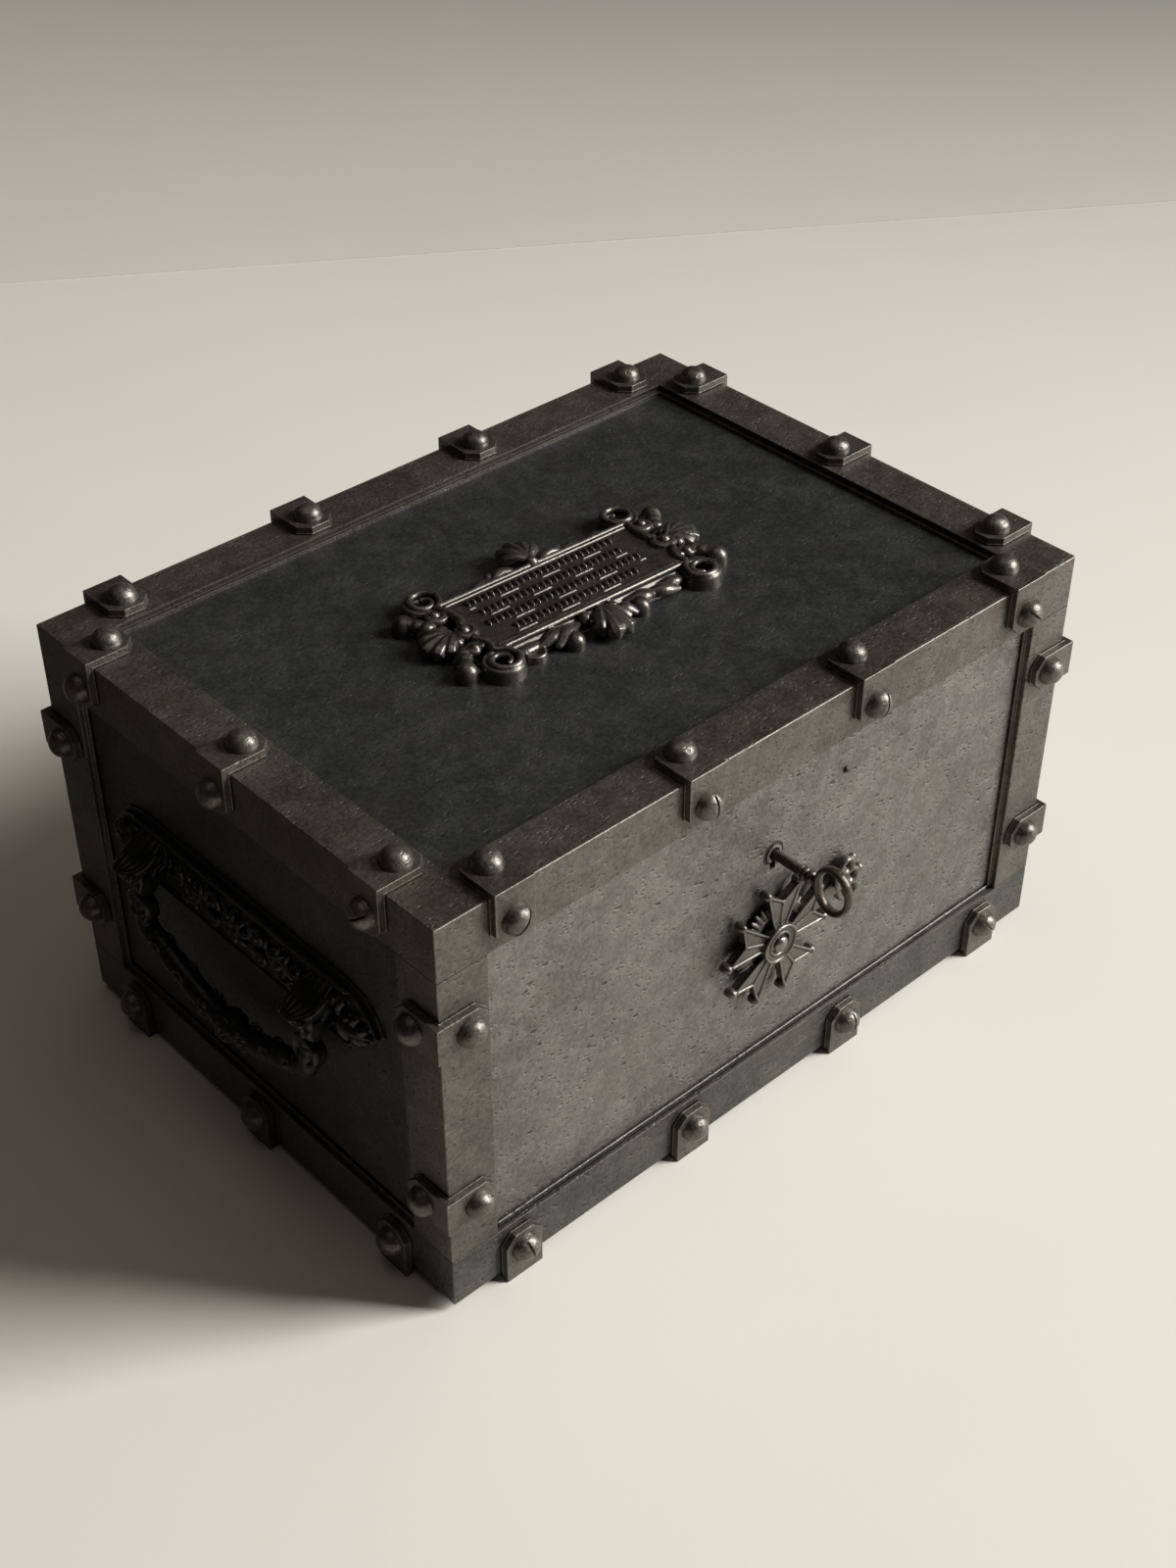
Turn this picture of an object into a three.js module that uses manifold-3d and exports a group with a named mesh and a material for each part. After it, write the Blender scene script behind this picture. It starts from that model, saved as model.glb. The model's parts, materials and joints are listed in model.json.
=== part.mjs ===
// An iron strongbox of riveted plates: a case of four walls in an outer frame of corner posts and a
// base rail, a hinged lid with a raised border and an ornamental plaque, angle clips over every edge,
// a lock with its key, a swivelling star for the keyhole, and a hanging bail handle on each end.
// Lengths are in millimetres. +X runs along the front to the right, the front faces -Y and +Z is up.
// The clips under the case are its feet, and they stand on z = 0.
import * as THREE from "three";
import { mergeVertices } from "three/addons/utils/BufferGeometryUtils.js";
import Module from "manifold-3d";

const wasm = await Module();
wasm.setup();

// Case, without the clips, handles, key and hinge.
const caseWidth = 300;
const caseDepth = 216;
const caseHeight = 168;
const lidHeight = 21;
const wallThickness = 4.5;
const floorThickness = 5;
const lidPanelThickness = 4;

// Outer frame: posts, base rail and lid border, each with a narrow stepped ledge along its inner edge.
const frameThickness = 3.2;
const frameWidth = 20;
const baseRailHeight = 21;
const ledgeWidth = 1.6;
const ledgeThickness = 1;

// Gaps and cuts.
const seatGap = 0.3;
const runningGap = 0.6;
const overrun = 2;

// Angle clips and their round heads.
const clipThickness = 2.7;
const clipReach = 18;
const longEdgeClipCount = 4;
const shortEdgeClipCount = 3;
const longEdgeClipWidth = 16.5;
const shortEdgeClipWidth = 15;
const postClipWidth = 15;
const clipCornerCut = 4;
const headRadius = 4.9;
const headHeight = 4.4;
const headSetback = 10;
const headSlotWidth = 1.3;
const headSlotDepth = 1.3;
const longEdgeClipInset = 29;
const shortEdgeClipInset = 29.5;
const postClipLowInset = 25.5;
const postClipHighInset = 23;

// Rear hinge.
const hingeLength = 200;
const hingeLeafThickness = 1.6;
const hingePinRadius = 1.2;
const hingePinHeadRadius = 2.2;
const hingePinHeadThickness = 1.2;
const knuckleCount = 7;

// Keyhole and key. The key's bow stands out from the front of the case.
const keyholeDrop = 36;
const keyShankRadius = 1.9;
const keyholeRimWidth = 1.1;
const keyholeRimHeight = 0.6;
const keyCollarCount = 3;
const keyCollarRadius = 2.9;
const keyCollarWidth = 1.5;
const keyCollarPitch = 2.1;
const keyBowRadius = 8.3;
const keyBowBar = 3;
const keyBowProud = 24.1;
const keyBitReach = 6.5;
const keyBitThickness = 1.6;
const keyBitWardCut = 1.2;

// Lock case, bolt and the keeper that hangs from the lid.
const lockWall = 2;
const lockFootroom = 8;
const lockHeadroom = 2;
const boltHeight = 8;
const boltThickness = 5;
const boltStandoff = 3.7;
const talonWidth = 12;
const talonDrop = 2.5;
const boltTipProud = 1;
const boltOvertravel = 2;
const guideWidth = 4.4;
const guideWall = 1.8;
const keeperApproach = 2;
const keeperThickness = 4;
const keeperWall = 1.5;
const keeperPlateWidth = 24;
const keeperPlateHeight = 10;
const keeperPlateThickness = 2.5;

// Star over the keyhole: five forked arms round a ringed boss, and a lobed finial that hides the keyhole.
const starArmCount = 5;
const starBossRadius = 8.2;
const starBossHeight = 5.8;
const starBossRings = 5;
const starGroove = 1.4;
const starTipRadius = 25.3;
const starForkRadius = 17.5;
const starTipSpreadDegrees = 19.5;
const starArmRootWidth = 7;
const starThickness = 4;
const starStandoff = 1.5;
const starTipBall = 1.5;
const wreathInnerRadius = 12.5;
const wreathOuterRadius = 17;
const wreathThickness = 2.4;
const finialDistance = 37.5;
const finialLobeRadius = 4;
const finialSpread = 6;
const finialCrownRise = 1.3;
const finialBandHalf = 8;
const finialBandDrop = 6;
const finialBallRadius = 1.8;
const finialNeckWidth = 5;
const starSwungDegrees = 77;
const starPinRadius = 1.8;
const starPinHeadRadius = 3.2;
const starPinHeadHeight = 1.8;

// End handles: a long back plate with two hooded ears, and a bail that hangs from pins in them.
const handlePlateLength = 150;
const handlePlateHeight = 25;
const handlePlateThickness = 3;
const handlePlateCentre = 99.5;
const handlePlateTaper = 17;
const handleTipRoundShare = 1 / 3;
const handleBorderRadius = 1.3;
const rosetteRadius = 7.5;
const rosetteHeight = 2.6;
const leafLength = 15;
const leafHeight = 7;
const earSpacing = 97;
const earReach = 17;
const earCheek = 3;
const earTopSetback = 1;
const earTipThickness = 3;
const bailPivotOut = 8.2;
const bailPivotDrop = 4.5;
const bailPinRadius = 2;
const bailEyeRadius = 4;
const bailThickness = 6;
const bailBarRadius = 3.9;
const bailScrollRadius = 7;
const bailScrollDrop = 12;
const bailDrop = 36.5;
const bailBossRadius = 6.8;
const bailBossProud = 1.6;

// Shares of the arms' reach and of the drop at which the bail's bar bends, from a scroll to the middle.
const bailBendShares = [
  [0.78, 0.7],
  [0.53, 0.84],
  [0.25, 0.96],
];

// Shares of a rosette's radius and height, from its back to its hollow middle.
const rosetteShares = [
  [1, 1 / 3],
  [1 / 2, 1],
  [1 / 4, 1 / 2],
  [0, 1 / 2],
];

// Turns at which the round underside of an ear's cheeks is drawn, from its outer end to the plate.
const earTurnsDegrees = [0, -45, -90, -140];

// Plaque on the lid: a framed field among rolled scrolls, buds and shells.
const plaqueFieldLength = 86;
const plaqueFieldWidth = 34;
const plaqueBackThickness = 2;
const plaqueFieldThickness = 5.4;
const plaqueBorderRadius = 1.1;
const plaqueMarginLength = 15;
const plaqueMarginWidth = 10;
const plaqueTurnDegrees = -2.5;
const rollFootRadius = 8.2;
const rollTopRadius = 7.2;
const rollHeight = 6.2;
const rollHollowRadius = 2;
const rollDishDepth = 2.4;
const rollLip = 0.8;
const rollOut = 2;
const rollAside = 5.8;
const budRadius = 4.2;
const budHeight = 4.8;
const budOut = 14;
const budAside = 1.1;
const shellRibCount = 5;
const shellRadius = 19;
const shellSpreadDegrees = 110;
const shellRibRadius = 3;
const shellHeight = 5;

// Faces of the round and swept shapes.
const headSides = 10;
const smallSides = 12;
const ringSides = 20;
const tubeSides = 8;
const blobSides = 6;
const blobRings = 5;
const bailScrollSides = 15;
const plateTipSides = 4;
const bailSteps = 26;
const rollSides = 16;
const headRiseShares = [0, 1 / 3, 2 / 3];

// Places worked out from the sizes above.
const clipStand = seatGap + clipThickness;
const caseBottom = clipStand;
const caseTop = caseBottom + caseHeight;
const seam = caseTop - lidHeight;
const halfWidth = caseWidth / 2;
const halfDepth = caseDepth / 2;
const panelInset = frameThickness + seatGap;
const wallInnerInset = panelInset + wallThickness;
const railTop = caseBottom + baseRailHeight;
const capBottom = caseTop - frameThickness;
const lidPanelTop = capBottom - seatGap;
const lidPanelBottom = lidPanelTop - lidPanelThickness;
const frontFace = -halfDepth;
const frontPanel = frontFace + panelInset;
const frontInner = frontFace + wallInnerInset;
const knuckleRadius = lidHeight - clipReach - 2 * seatGap;
const hingeAxisOut = knuckleRadius + seatGap;
const keyholeHeight = seam - keyholeDrop;
const starHeight = keyholeHeight - finialDistance;
const frontReach = keyBowProud + keyBowRadius;
const backReach = Math.max(hingeAxisOut + knuckleRadius, clipStand + headHeight);

// Lock places, measured along X from the keyhole, and in Y and Z in the case's own frame.
const boltThrow = keeperApproach + keeperThickness + boltOvertravel;
const rightGuideStart = talonWidth / 2 + boltThrow + runningGap;
const boltTip = rightGuideStart + guideWidth + boltTipProud;
const keeperStart = boltTip + keeperApproach;
const keeperEnd = keeperStart + keeperThickness;
const lockRight = boltTip + boltThrow + runningGap + lockWall;
const leftGuideEnd = -talonWidth / 2 - runningGap;
const boltTail = leftGuideEnd - guideWidth - boltThrow - boltTipProud;
const lockLeft = boltTail - runningGap - lockWall;
const boltFront = frontInner + seatGap + boltStandoff;
const boltBack = boltFront + boltThickness;
const lockBack = boltBack + runningGap + keeperWall + runningGap + lockWall;
const boltBottom = keyholeHeight + keyBitReach + runningGap + talonDrop;
const boltTop = boltBottom + boltHeight;
const lockTop = boltTop + seatGap + guideWall + lockHeadroom + lockWall;
const lockBottom = keyholeHeight - keyBitReach - lockFootroom - lockWall;

const ironDark = new THREE.MeshStandardMaterial({ color: 0x3f3a35, roughness: 0.55, metalness: 0.75 });
const ironPanel = new THREE.MeshStandardMaterial({ color: 0x4a4845, roughness: 0.6, metalness: 0.7 });
const ironBlue = new THREE.MeshStandardMaterial({ color: 0x35373b, roughness: 0.5, metalness: 0.75 });
const ironBright = new THREE.MeshStandardMaterial({ color: 0x6a635a, roughness: 0.4, metalness: 0.85 });
const steel = new THREE.MeshStandardMaterial({ color: 0x7d7870, roughness: 0.35, metalness: 0.9 });

// Solids. A geometry becomes a solid that can be joined and cut, and the result becomes a geometry again.
function solid(geometry) {
  const bare = geometry.clone();
  bare.deleteAttribute("normal");
  bare.deleteAttribute("uv");
  const merged = mergeVertices(bare);
  return new wasm.Manifold(
    new wasm.Mesh({
      numProp: 3,
      vertProperties: merged.attributes.position.array,
      triVerts: new Uint32Array(merged.index.array),
    }),
  );
}

function geometryOf(body) {
  const mesh = body.getMesh();
  const geometry = new THREE.BufferGeometry();
  geometry.setAttribute("position", new THREE.BufferAttribute(new Float32Array(mesh.vertProperties), 3));
  geometry.setIndex(new THREE.BufferAttribute(new Uint32Array(mesh.triVerts), 1));
  const faceted = geometry.toNonIndexed();
  faceted.computeVertexNormals();
  return faceted;
}

function join(...bodies) {
  return bodies.reduce((whole, body) => whole.add(body));
}

function block(x0, x1, y0, y1, z0, z1) {
  const geometry = new THREE.BoxGeometry(x1 - x0, y1 - y0, z1 - z0);
  return solid(geometry.translate((x0 + x1) / 2, (y0 + y1) / 2, (z0 + z1) / 2));
}

function outline(points, path = new THREE.Shape()) {
  points.forEach(([x, y], i) => (i ? path.lineTo(x, y) : path.moveTo(x, y)));
  path.closePath();
  return path;
}

function rectangle(halfX, halfY, path) {
  return outline([[-halfX, -halfY], [halfX, -halfY], [halfX, halfY], [-halfX, halfY]], path);
}

function raised(shape, bottom, top, curveSegments = smallSides) {
  const depth = top - bottom;
  const geometry = new THREE.ExtrudeGeometry(shape, { depth, bevelEnabled: false, curveSegments });
  return solid(geometry.translate(0, 0, bottom));
}

// A rectangular ring between two insets from the case's outer faces.
function caseRing(outerInset, innerInset, bottom, top) {
  const shape = rectangle(halfWidth - outerInset, halfDepth - outerInset);
  shape.holes.push(rectangle(halfWidth - innerInset, halfDepth - innerInset, new THREE.Path()));
  return raised(shape, bottom, top);
}

// A turned body round the local Z axis, from [radius, height] points that start and end on the axis.
function turned(profile, sides) {
  const points = profile.map(([radius, height]) => new THREE.Vector2(radius, height));
  return solid(new THREE.LatheGeometry(points, sides).rotateX(Math.PI / 2));
}

function rod(radius, bottom, top, sides = smallSides) {
  return turned([[0, bottom], [radius, bottom], [radius, top], [0, top]], sides);
}

function blob(x, y, z, radiusX, radiusY, radiusZ, turn = 0) {
  const geometry = new THREE.SphereGeometry(1, blobSides, blobRings);
  return solid(geometry.scale(radiusX, radiusY, radiusZ).rotateZ(turn).translate(x, y, z));
}

function swept(curve, radius, steps, sides = tubeSides) {
  const section = new THREE.Shape();
  section.absarc(0, 0, radius, 0, 2 * Math.PI);
  const geometry = new THREE.ExtrudeGeometry(section, {
    extrudePath: curve,
    steps,
    curveSegments: sides / 2,
  });
  return solid(geometry);
}

function mesh(name, body, material) {
  const piece = new THREE.Mesh(geometryOf(body), material);
  piece.name = name;
  return piece;
}

function spread(count, reach) {
  return Array.from({ length: count }, (_, i) => reach * ((2 * i) / (count - 1) - 1));
}

const degrees = Math.PI / 180;

// Moves a body by a THREE matrix made from a turn in degrees about X, Y and Z and a shift.
function moved(body, shift, turn = [0, 0, 0]) {
  const [x, y, z] = turn.map((angle) => angle * degrees);
  const matrix = new THREE.Matrix4().makeRotationFromEuler(new THREE.Euler(x, y, z));
  return solid(geometryOf(body).applyMatrix4(matrix.setPosition(...shift)));
}

// Round clip head on local +Z, sunk a little into its leg, with a screwdriver slot where a turn is given.
function clipHead(slotTurn) {
  const sink = clipThickness / 2;
  const profile = [[0, -sink], [headRadius, -sink]];
  for (const riseShare of headRiseShares) {
    const angle = (riseShare * Math.PI) / 2;
    profile.push([headRadius * Math.cos(angle), headHeight * Math.sin(angle)]);
  }
  profile.push([0, headHeight]);
  const head = turned(profile, headSides);
  if (slotTurn === undefined) return head;
  const slot = new THREE.BoxGeometry(2 * headRadius + overrun, headSlotWidth, 2 * headSlotDepth);
  return head.subtract(solid(slot.rotateZ(slotTurn * degrees).translate(0, 0, headHeight)));
}

// One leg lies on a face of the case: local X runs along the edge, Y away from it and Z out of the face.
function clipLeg(width, headed, slotTurn) {
  const side = width / 2;
  const leg = raised(
    outline([
      [-side, -clipStand],
      [side, -clipStand],
      [side, clipReach - clipCornerCut],
      [side - clipCornerCut, clipReach],
      [clipCornerCut - side, clipReach],
      [-side, clipReach - clipCornerCut],
    ]),
    seatGap,
    clipStand,
  );
  return headed ? leg.add(moved(clipHead(slotTurn), [0, headSetback, clipStand])) : leg;
}

// Local X runs along the edge. The first leg's face looks to -Y and the second leg's to +Z.
function clipBody(width, { secondHeaded = true, slotTurn } = {}) {
  const first = moved(clipLeg(width, true, slotTurn), [0, 0, 0], [90, 0, 180]);
  return first.add(clipLeg(width, secondHeaded));
}

// A clip on an edge of the case. The normals of the two faces that it lies on fix how it is turned.
function edgeClip(name, place, firstNormal, secondNormal, width, options) {
  const clip = mesh(name, clipBody(width, options), ironDark);
  const first = new THREE.Vector3(...firstNormal);
  const second = new THREE.Vector3(...secondNormal);
  const along = new THREE.Vector3().crossVectors(second, first);
  clip.quaternion.setFromRotationMatrix(new THREE.Matrix4().makeBasis(along, first.negate(), second));
  clip.position.set(...place);
  return clip;
}

// Turns of the screwdriver slots, on the clips that have one, in degrees.
const slotTurns = {
  lid_clip_front_1: 65,
  lid_clip_front_2: -35,
  lid_clip_front_3: 10,
  lid_clip_front_4: -70,
  base_clip_front_1: 40,
  base_clip_front_4: -20,
  lid_clip_left_1: 5,
};

// The clips round the top or the bottom of the case, in even rows along its edges.
function clipRow(prefix, height, upward, secondHeaded) {
  const group = new THREE.Group();
  const add = (name, place, normal, width) => {
    const options = { secondHeaded, slotTurn: slotTurns[name] };
    group.add(edgeClip(name, [...place, height], normal, [0, 0, upward], width, options));
  };
  spread(longEdgeClipCount, halfWidth - longEdgeClipInset).forEach((x, i) => {
    add(`${prefix}_clip_front_${i + 1}`, [x, -halfDepth], [0, -1, 0], longEdgeClipWidth);
    add(`${prefix}_clip_back_${i + 1}`, [x, halfDepth], [0, 1, 0], longEdgeClipWidth);
  });
  spread(shortEdgeClipCount, halfDepth - shortEdgeClipInset).forEach((y, i) => {
    add(`${prefix}_clip_left_${i + 1}`, [-halfWidth, y], [-1, 0, 0], shortEdgeClipWidth);
    add(`${prefix}_clip_right_${i + 1}`, [halfWidth, y], [1, 0, 0], shortEdgeClipWidth);
  });
  return group;
}

// Two clips on each upright edge of the case.
function postClips() {
  const group = new THREE.Group();
  const heights = { low: railTop + postClipLowInset, high: seam - postClipHighInset };
  for (const [end, y] of [["front", -1], ["back", 1]])
    for (const [side, x] of [["left", -1], ["right", 1]])
      for (const [level, height] of Object.entries(heights)) {
        const name = `post_clip_${end}_${side}_${level}`;
        const place = [x * halfWidth, y * halfDepth, height];
        group.add(edgeClip(name, place, [0, y, 0], [x, 0, 0], postClipWidth));
      }
  return group;
}

// Pocket let into the rim for a hinge leaf, through the whole thickness of the back wall.
function leafPocket(bottom, top) {
  const reach = hingeLength / 2 + seatGap;
  return block(-reach, reach, halfDepth - wallInnerInset - overrun, halfDepth + overrun, bottom, top);
}

// Four walls in one casting, with a raised keyhole rim, a keyhole and the hole for the star's pin.
function caseWalls() {
  const top = seam - seatGap / 2;
  const walls = caseRing(panelInset, wallInnerInset, caseBottom, top);
  const facing = [90, 0, 0];
  const rimRadius = keyShankRadius + runningGap + keyholeRimWidth;
  const rim = rod(rimRadius, -wallThickness / 2, keyholeRimHeight, ringSides);
  const reach = wallThickness + overrun;
  const bore = rod(keyShankRadius + runningGap, -reach, reach, ringSides);
  const slotHalf = keyBitThickness / 2 + runningGap;
  const slot = block(-slotHalf, slotHalf, -keyBitReach - runningGap, 0, -reach, reach);
  const pinHole = rod(starPinRadius + seatGap, -reach, reach);
  return walls
    .add(moved(rim, [0, frontPanel, keyholeHeight], facing))
    .subtract(moved(bore.add(slot), [0, frontPanel, keyholeHeight], facing))
    .subtract(moved(pinHole, [0, frontPanel, starHeight], facing))
    .subtract(leafPocket(top - hingeLeafThickness - seatGap, top + overrun));
}

function caseFloor() {
  const inset = wallInnerInset + seatGap;
  return raised(rectangle(halfWidth - inset, halfDepth - inset), caseBottom, caseBottom + floorThickness);
}

// Base rail with a ledge along its top between the posts' own ledges.
function baseFrame() {
  const ring = caseRing(0, frameThickness, caseBottom, railTop);
  const ledgeStart = frameThickness - ledgeThickness;
  const alongX = halfWidth - frameWidth - ledgeWidth - seatGap;
  const alongY = halfDepth - frameWidth - ledgeWidth - seatGap;
  const bottom = railTop - ledgeThickness;
  const top = railTop + ledgeWidth;
  return [-1, 1].reduce((frame, side) => {
    const y = [side * (halfDepth - ledgeStart), side * (halfDepth - frameThickness)].sort((a, b) => a - b);
    const x = [side * (halfWidth - ledgeStart), side * (halfWidth - frameThickness)].sort((a, b) => a - b);
    const longLedge = block(-alongX, alongX, ...y, bottom, top);
    return join(frame, longLedge, block(...x, -alongY, alongY, bottom, top));
  }, ring);
}

// Angle post with its outer corner on the local origin and its legs along +X and +Y.
function cornerPost() {
  const step = frameThickness - ledgeThickness;
  const ledgeEnd = frameWidth + ledgeWidth;
  const shape = outline([
    [0, 0],
    [frameWidth, 0],
    [frameWidth, step],
    [ledgeEnd, step],
    [ledgeEnd, frameThickness],
    [frameThickness, frameThickness],
    [frameThickness, ledgeEnd],
    [step, ledgeEnd],
    [step, frameWidth],
    [0, frameWidth],
  ]);
  return raised(shape, railTop + seatGap, seam - seatGap / 2);
}

function cornerPosts() {
  const group = new THREE.Group();
  const corners = [
    ["corner_post_front_left", -1, -1],
    ["corner_post_front_right", 1, -1],
    ["corner_post_back_right", 1, 1],
    ["corner_post_back_left", -1, 1],
  ];
  corners.forEach(([name, x, y], quarter) => {
    const post = mesh(name, cornerPost(), ironDark);
    post.position.set(x * halfWidth, y * halfDepth, 0);
    post.rotation.z = (quarter * Math.PI) / 2;
    group.add(post);
  });
  return group;
}

function lidSkirt() {
  const bottom = seam + seatGap / 2;
  const ring = caseRing(0, wallInnerInset, bottom, capBottom - seatGap);
  return ring.subtract(leafPocket(bottom - overrun, bottom + hingeLeafThickness + seatGap));
}

function lidBorder() {
  const strip = caseRing(0, frameWidth, capBottom, caseTop);
  const ledgeTop = capBottom + ledgeThickness;
  return strip.add(caseRing(frameWidth - ledgeWidth, frameWidth + ledgeWidth, capBottom, ledgeTop));
}

function lidPanel() {
  const inset = wallInnerInset + seatGap;
  return raised(rectangle(halfWidth - inset, halfDepth - inset), lidPanelBottom, lidPanelTop);
}

// Knuckles of one leaf: every second one, from the given first, on the hinge axis.
function knuckles(first, bottom, top) {
  const pitch = hingeLength / knuckleCount;
  const axisY = halfDepth + hingeAxisOut;
  const bodies = [];
  for (let i = first; i < knuckleCount; i += 2) {
    const start = -hingeLength / 2 + i * pitch + seatGap / 2;
    const end = start + pitch - seatGap;
    const barrel = moved(rod(knuckleRadius, start, end), [0, axisY, seam], [0, 90, 0]);
    bodies.push(barrel, block(start, end, axisY - knuckleRadius - 2 * seatGap, axisY, bottom, top));
  }
  return join(...bodies);
}

function hingeLeaf(first, bottom, top) {
  const axisY = halfDepth + hingeAxisOut;
  const stripEnd = axisY - knuckleRadius - seatGap;
  const half = hingeLength / 2;
  const strip = block(-half, half, halfDepth - wallInnerInset, stripEnd, bottom, top);
  const bore = rod(hingePinRadius + seatGap, -half - overrun, half + overrun);
  return strip.add(knuckles(first, bottom, top)).subtract(moved(bore, [0, axisY, seam], [0, 90, 0]));
}

function bodyHingeLeaf() {
  const top = seam - seatGap / 2;
  return hingeLeaf(0, top - hingeLeafThickness, top);
}

function lidHingeLeaf() {
  const bottom = seam + seatGap / 2;
  return hingeLeaf(1, bottom, bottom + hingeLeafThickness);
}

// Hinge pin with a button on each end.
function hingePin() {
  const start = hingeLength / 2 + seatGap;
  const end = start + hingePinHeadThickness;
  const profile = [
    [0, -end],
    [hingePinHeadRadius, -end],
    [hingePinHeadRadius, -start],
    [hingePinRadius, -start],
    [hingePinRadius, start],
    [hingePinHeadRadius, start],
    [hingePinHeadRadius, end],
    [0, end],
  ];
  return moved(turned(profile, smallSides), [0, halfDepth + hingeAxisOut, seam], [0, 90, 0]);
}

// Lock case: an open tray against the front wall, slotted on top for the keeper, with two bolt guides.
function lockCase() {
  const front = frontInner + seatGap;
  const shell = block(lockLeft, lockRight, front, lockBack, lockBottom, lockTop);
  const hollow = block(
    lockLeft + lockWall,
    lockRight - lockWall,
    front - overrun,
    lockBack - lockWall,
    lockBottom + lockWall,
    lockTop - lockWall,
  );
  const entry = block(
    keeperStart - runningGap,
    keeperEnd + runningGap,
    front - overrun,
    lockBack - lockWall,
    lockTop - 2 * lockWall,
    lockTop + overrun,
  );
  const guides = [leftGuideEnd - guideWidth, rightGuideStart].map((start) =>
    block(
      start,
      start + guideWidth,
      boltFront - seatGap - guideWall,
      lockBack - lockWall / 2,
      boltBottom - seatGap - guideWall,
      boltTop + seatGap + guideWall,
    ),
  );
  const boltWay = block(
    lockLeft + lockWall,
    lockRight - lockWall,
    boltFront - seatGap,
    boltBack + seatGap,
    boltBottom - seatGap,
    boltTop + seatGap,
  );
  return join(shell.subtract(hollow).subtract(entry), ...guides).subtract(boltWay);
}

function lockBolt() {
  const bar = block(boltTail, boltTip, boltFront, boltBack, boltBottom, boltTop);
  const half = talonWidth / 2;
  return bar.add(block(-half, half, boltFront, boltBack, boltBottom - talonDrop, boltBottom + talonDrop));
}

// Keeper: a plate inside the front of the lid, with a pierced lug that drops into the lock.
function lockKeeper() {
  const plateBack = frontInner + seatGap;
  const plateBottom = seam + seatGap + runningGap;
  const plateTop = plateBottom + keeperPlateHeight;
  const centre = (keeperStart + keeperEnd) / 2;
  const plate = block(
    centre - keeperPlateWidth / 2,
    centre + keeperPlateWidth / 2,
    plateBack,
    plateBack + keeperPlateThickness,
    plateBottom,
    plateTop,
  );
  const lugBottom = boltBottom - runningGap - keeperWall;
  const lugFront = boltFront - runningGap - keeperWall;
  const lugBack = boltBack + runningGap + keeperWall;
  const lug = block(keeperStart, keeperEnd, lugFront, lugBack, lugBottom, plateTop);
  const eye = block(
    keeperStart - overrun,
    keeperEnd + overrun,
    boltFront - runningGap,
    boltBack + runningGap,
    boltBottom - runningGap,
    boltTop + runningGap,
  );
  return plate.add(lug).subtract(eye);
}

// Key: shank with a row of collars, a ring bow and a bit with a ward cut. Local Z points out of the case.
function keyBody() {
  const bitFront = boltFront - frontFace + seatGap;
  const bitBack = boltBack - frontFace - seatGap;
  const bowCentre = keyBowProud;
  const shankEnd = bowCentre - keyBowRadius + keyBowBar / 2;
  const shank = rod(keyShankRadius, -bitBack - keyShankRadius, shankEnd);
  const bow = new THREE.TorusGeometry(keyBowRadius - keyBowBar / 2, keyBowBar / 2, tubeSides, ringSides);
  const bit = block(-keyBitThickness / 2, keyBitThickness / 2, -keyBitReach, 0, -bitBack, -bitFront);
  const middle = -(bitFront + bitBack) / 2;
  const ward = block(
    -keyBitThickness,
    keyBitThickness,
    -keyBitReach - overrun,
    -keyBitReach / 2,
    middle - keyBitWardCut / 2,
    middle + keyBitWardCut / 2,
  );
  const collars = Array.from({ length: keyCollarCount }, (_, i) => {
    const end = bowCentre - keyBowRadius - i * keyCollarPitch;
    return rod(keyCollarRadius, end - keyCollarWidth, end);
  });
  const ring = solid(bow.rotateY(Math.PI / 2).translate(0, 0, bowCentre));
  return join(shank, ring, bit.subtract(ward), ...collars);
}

function placeOnFront(piece, height, depth) {
  piece.position.set(0, depth, height);
  piece.rotation.x = Math.PI / 2;
  return piece;
}

// One forked arm of the star, pointing along local +Y, with a ball on each tip.
function starArm() {
  const spreadAngle = starTipSpreadDegrees * degrees;
  const tipX = starTipRadius * Math.sin(spreadAngle);
  const tipY = starTipRadius * Math.cos(spreadAngle);
  const root = starArmRootWidth / 2;
  const fork = outline([
    [-root, 0],
    [root, 0],
    [tipX, tipY],
    [0, starForkRadius],
    [-tipX, tipY],
  ]);
  const blade = raised(fork, starStandoff, starStandoff + starThickness);
  const middle = starStandoff + starThickness / 2;
  const balls = [-1, 1].map((side) =>
    solid(new THREE.OctahedronGeometry(starTipBall, 1).translate(side * tipX, tipY, middle)),
  );
  return join(blade, ...balls);
}

// Lobed finial beyond the star's first arm. It is what hides the keyhole when the star hangs upright.
function starFinial() {
  const top = starStandoff + starThickness;
  const foot = starForkRadius - overrun;
  const lobeY = finialDistance;
  const plate = (shape) => raised(shape, starStandoff, top);
  const circle = (x, y, radius) => {
    const shape = new THREE.Shape();
    shape.absarc(x, y, radius, 0, 2 * Math.PI);
    return raised(shape, starStandoff, top, smallSides / 2);
  };
  const neckHalf = finialNeckWidth / 2;
  const neck = outline([
    [-neckHalf, foot],
    [neckHalf, foot],
    [neckHalf, lobeY],
    [-neckHalf, lobeY],
  ]);
  const band = outline([
    [-finialBandHalf, lobeY - finialBandDrop],
    [finialBandHalf, lobeY - finialBandDrop],
    [finialSpread, lobeY],
    [-finialSpread, lobeY],
  ]);
  return join(
    plate(neck),
    plate(band),
    circle(0, lobeY + finialCrownRise, finialLobeRadius),
    circle(-finialSpread, lobeY, finialLobeRadius),
    circle(finialSpread, lobeY, finialLobeRadius),
    circle(0, lobeY + finialLobeRadius + finialBallRadius, finialBallRadius),
  );
}

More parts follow.
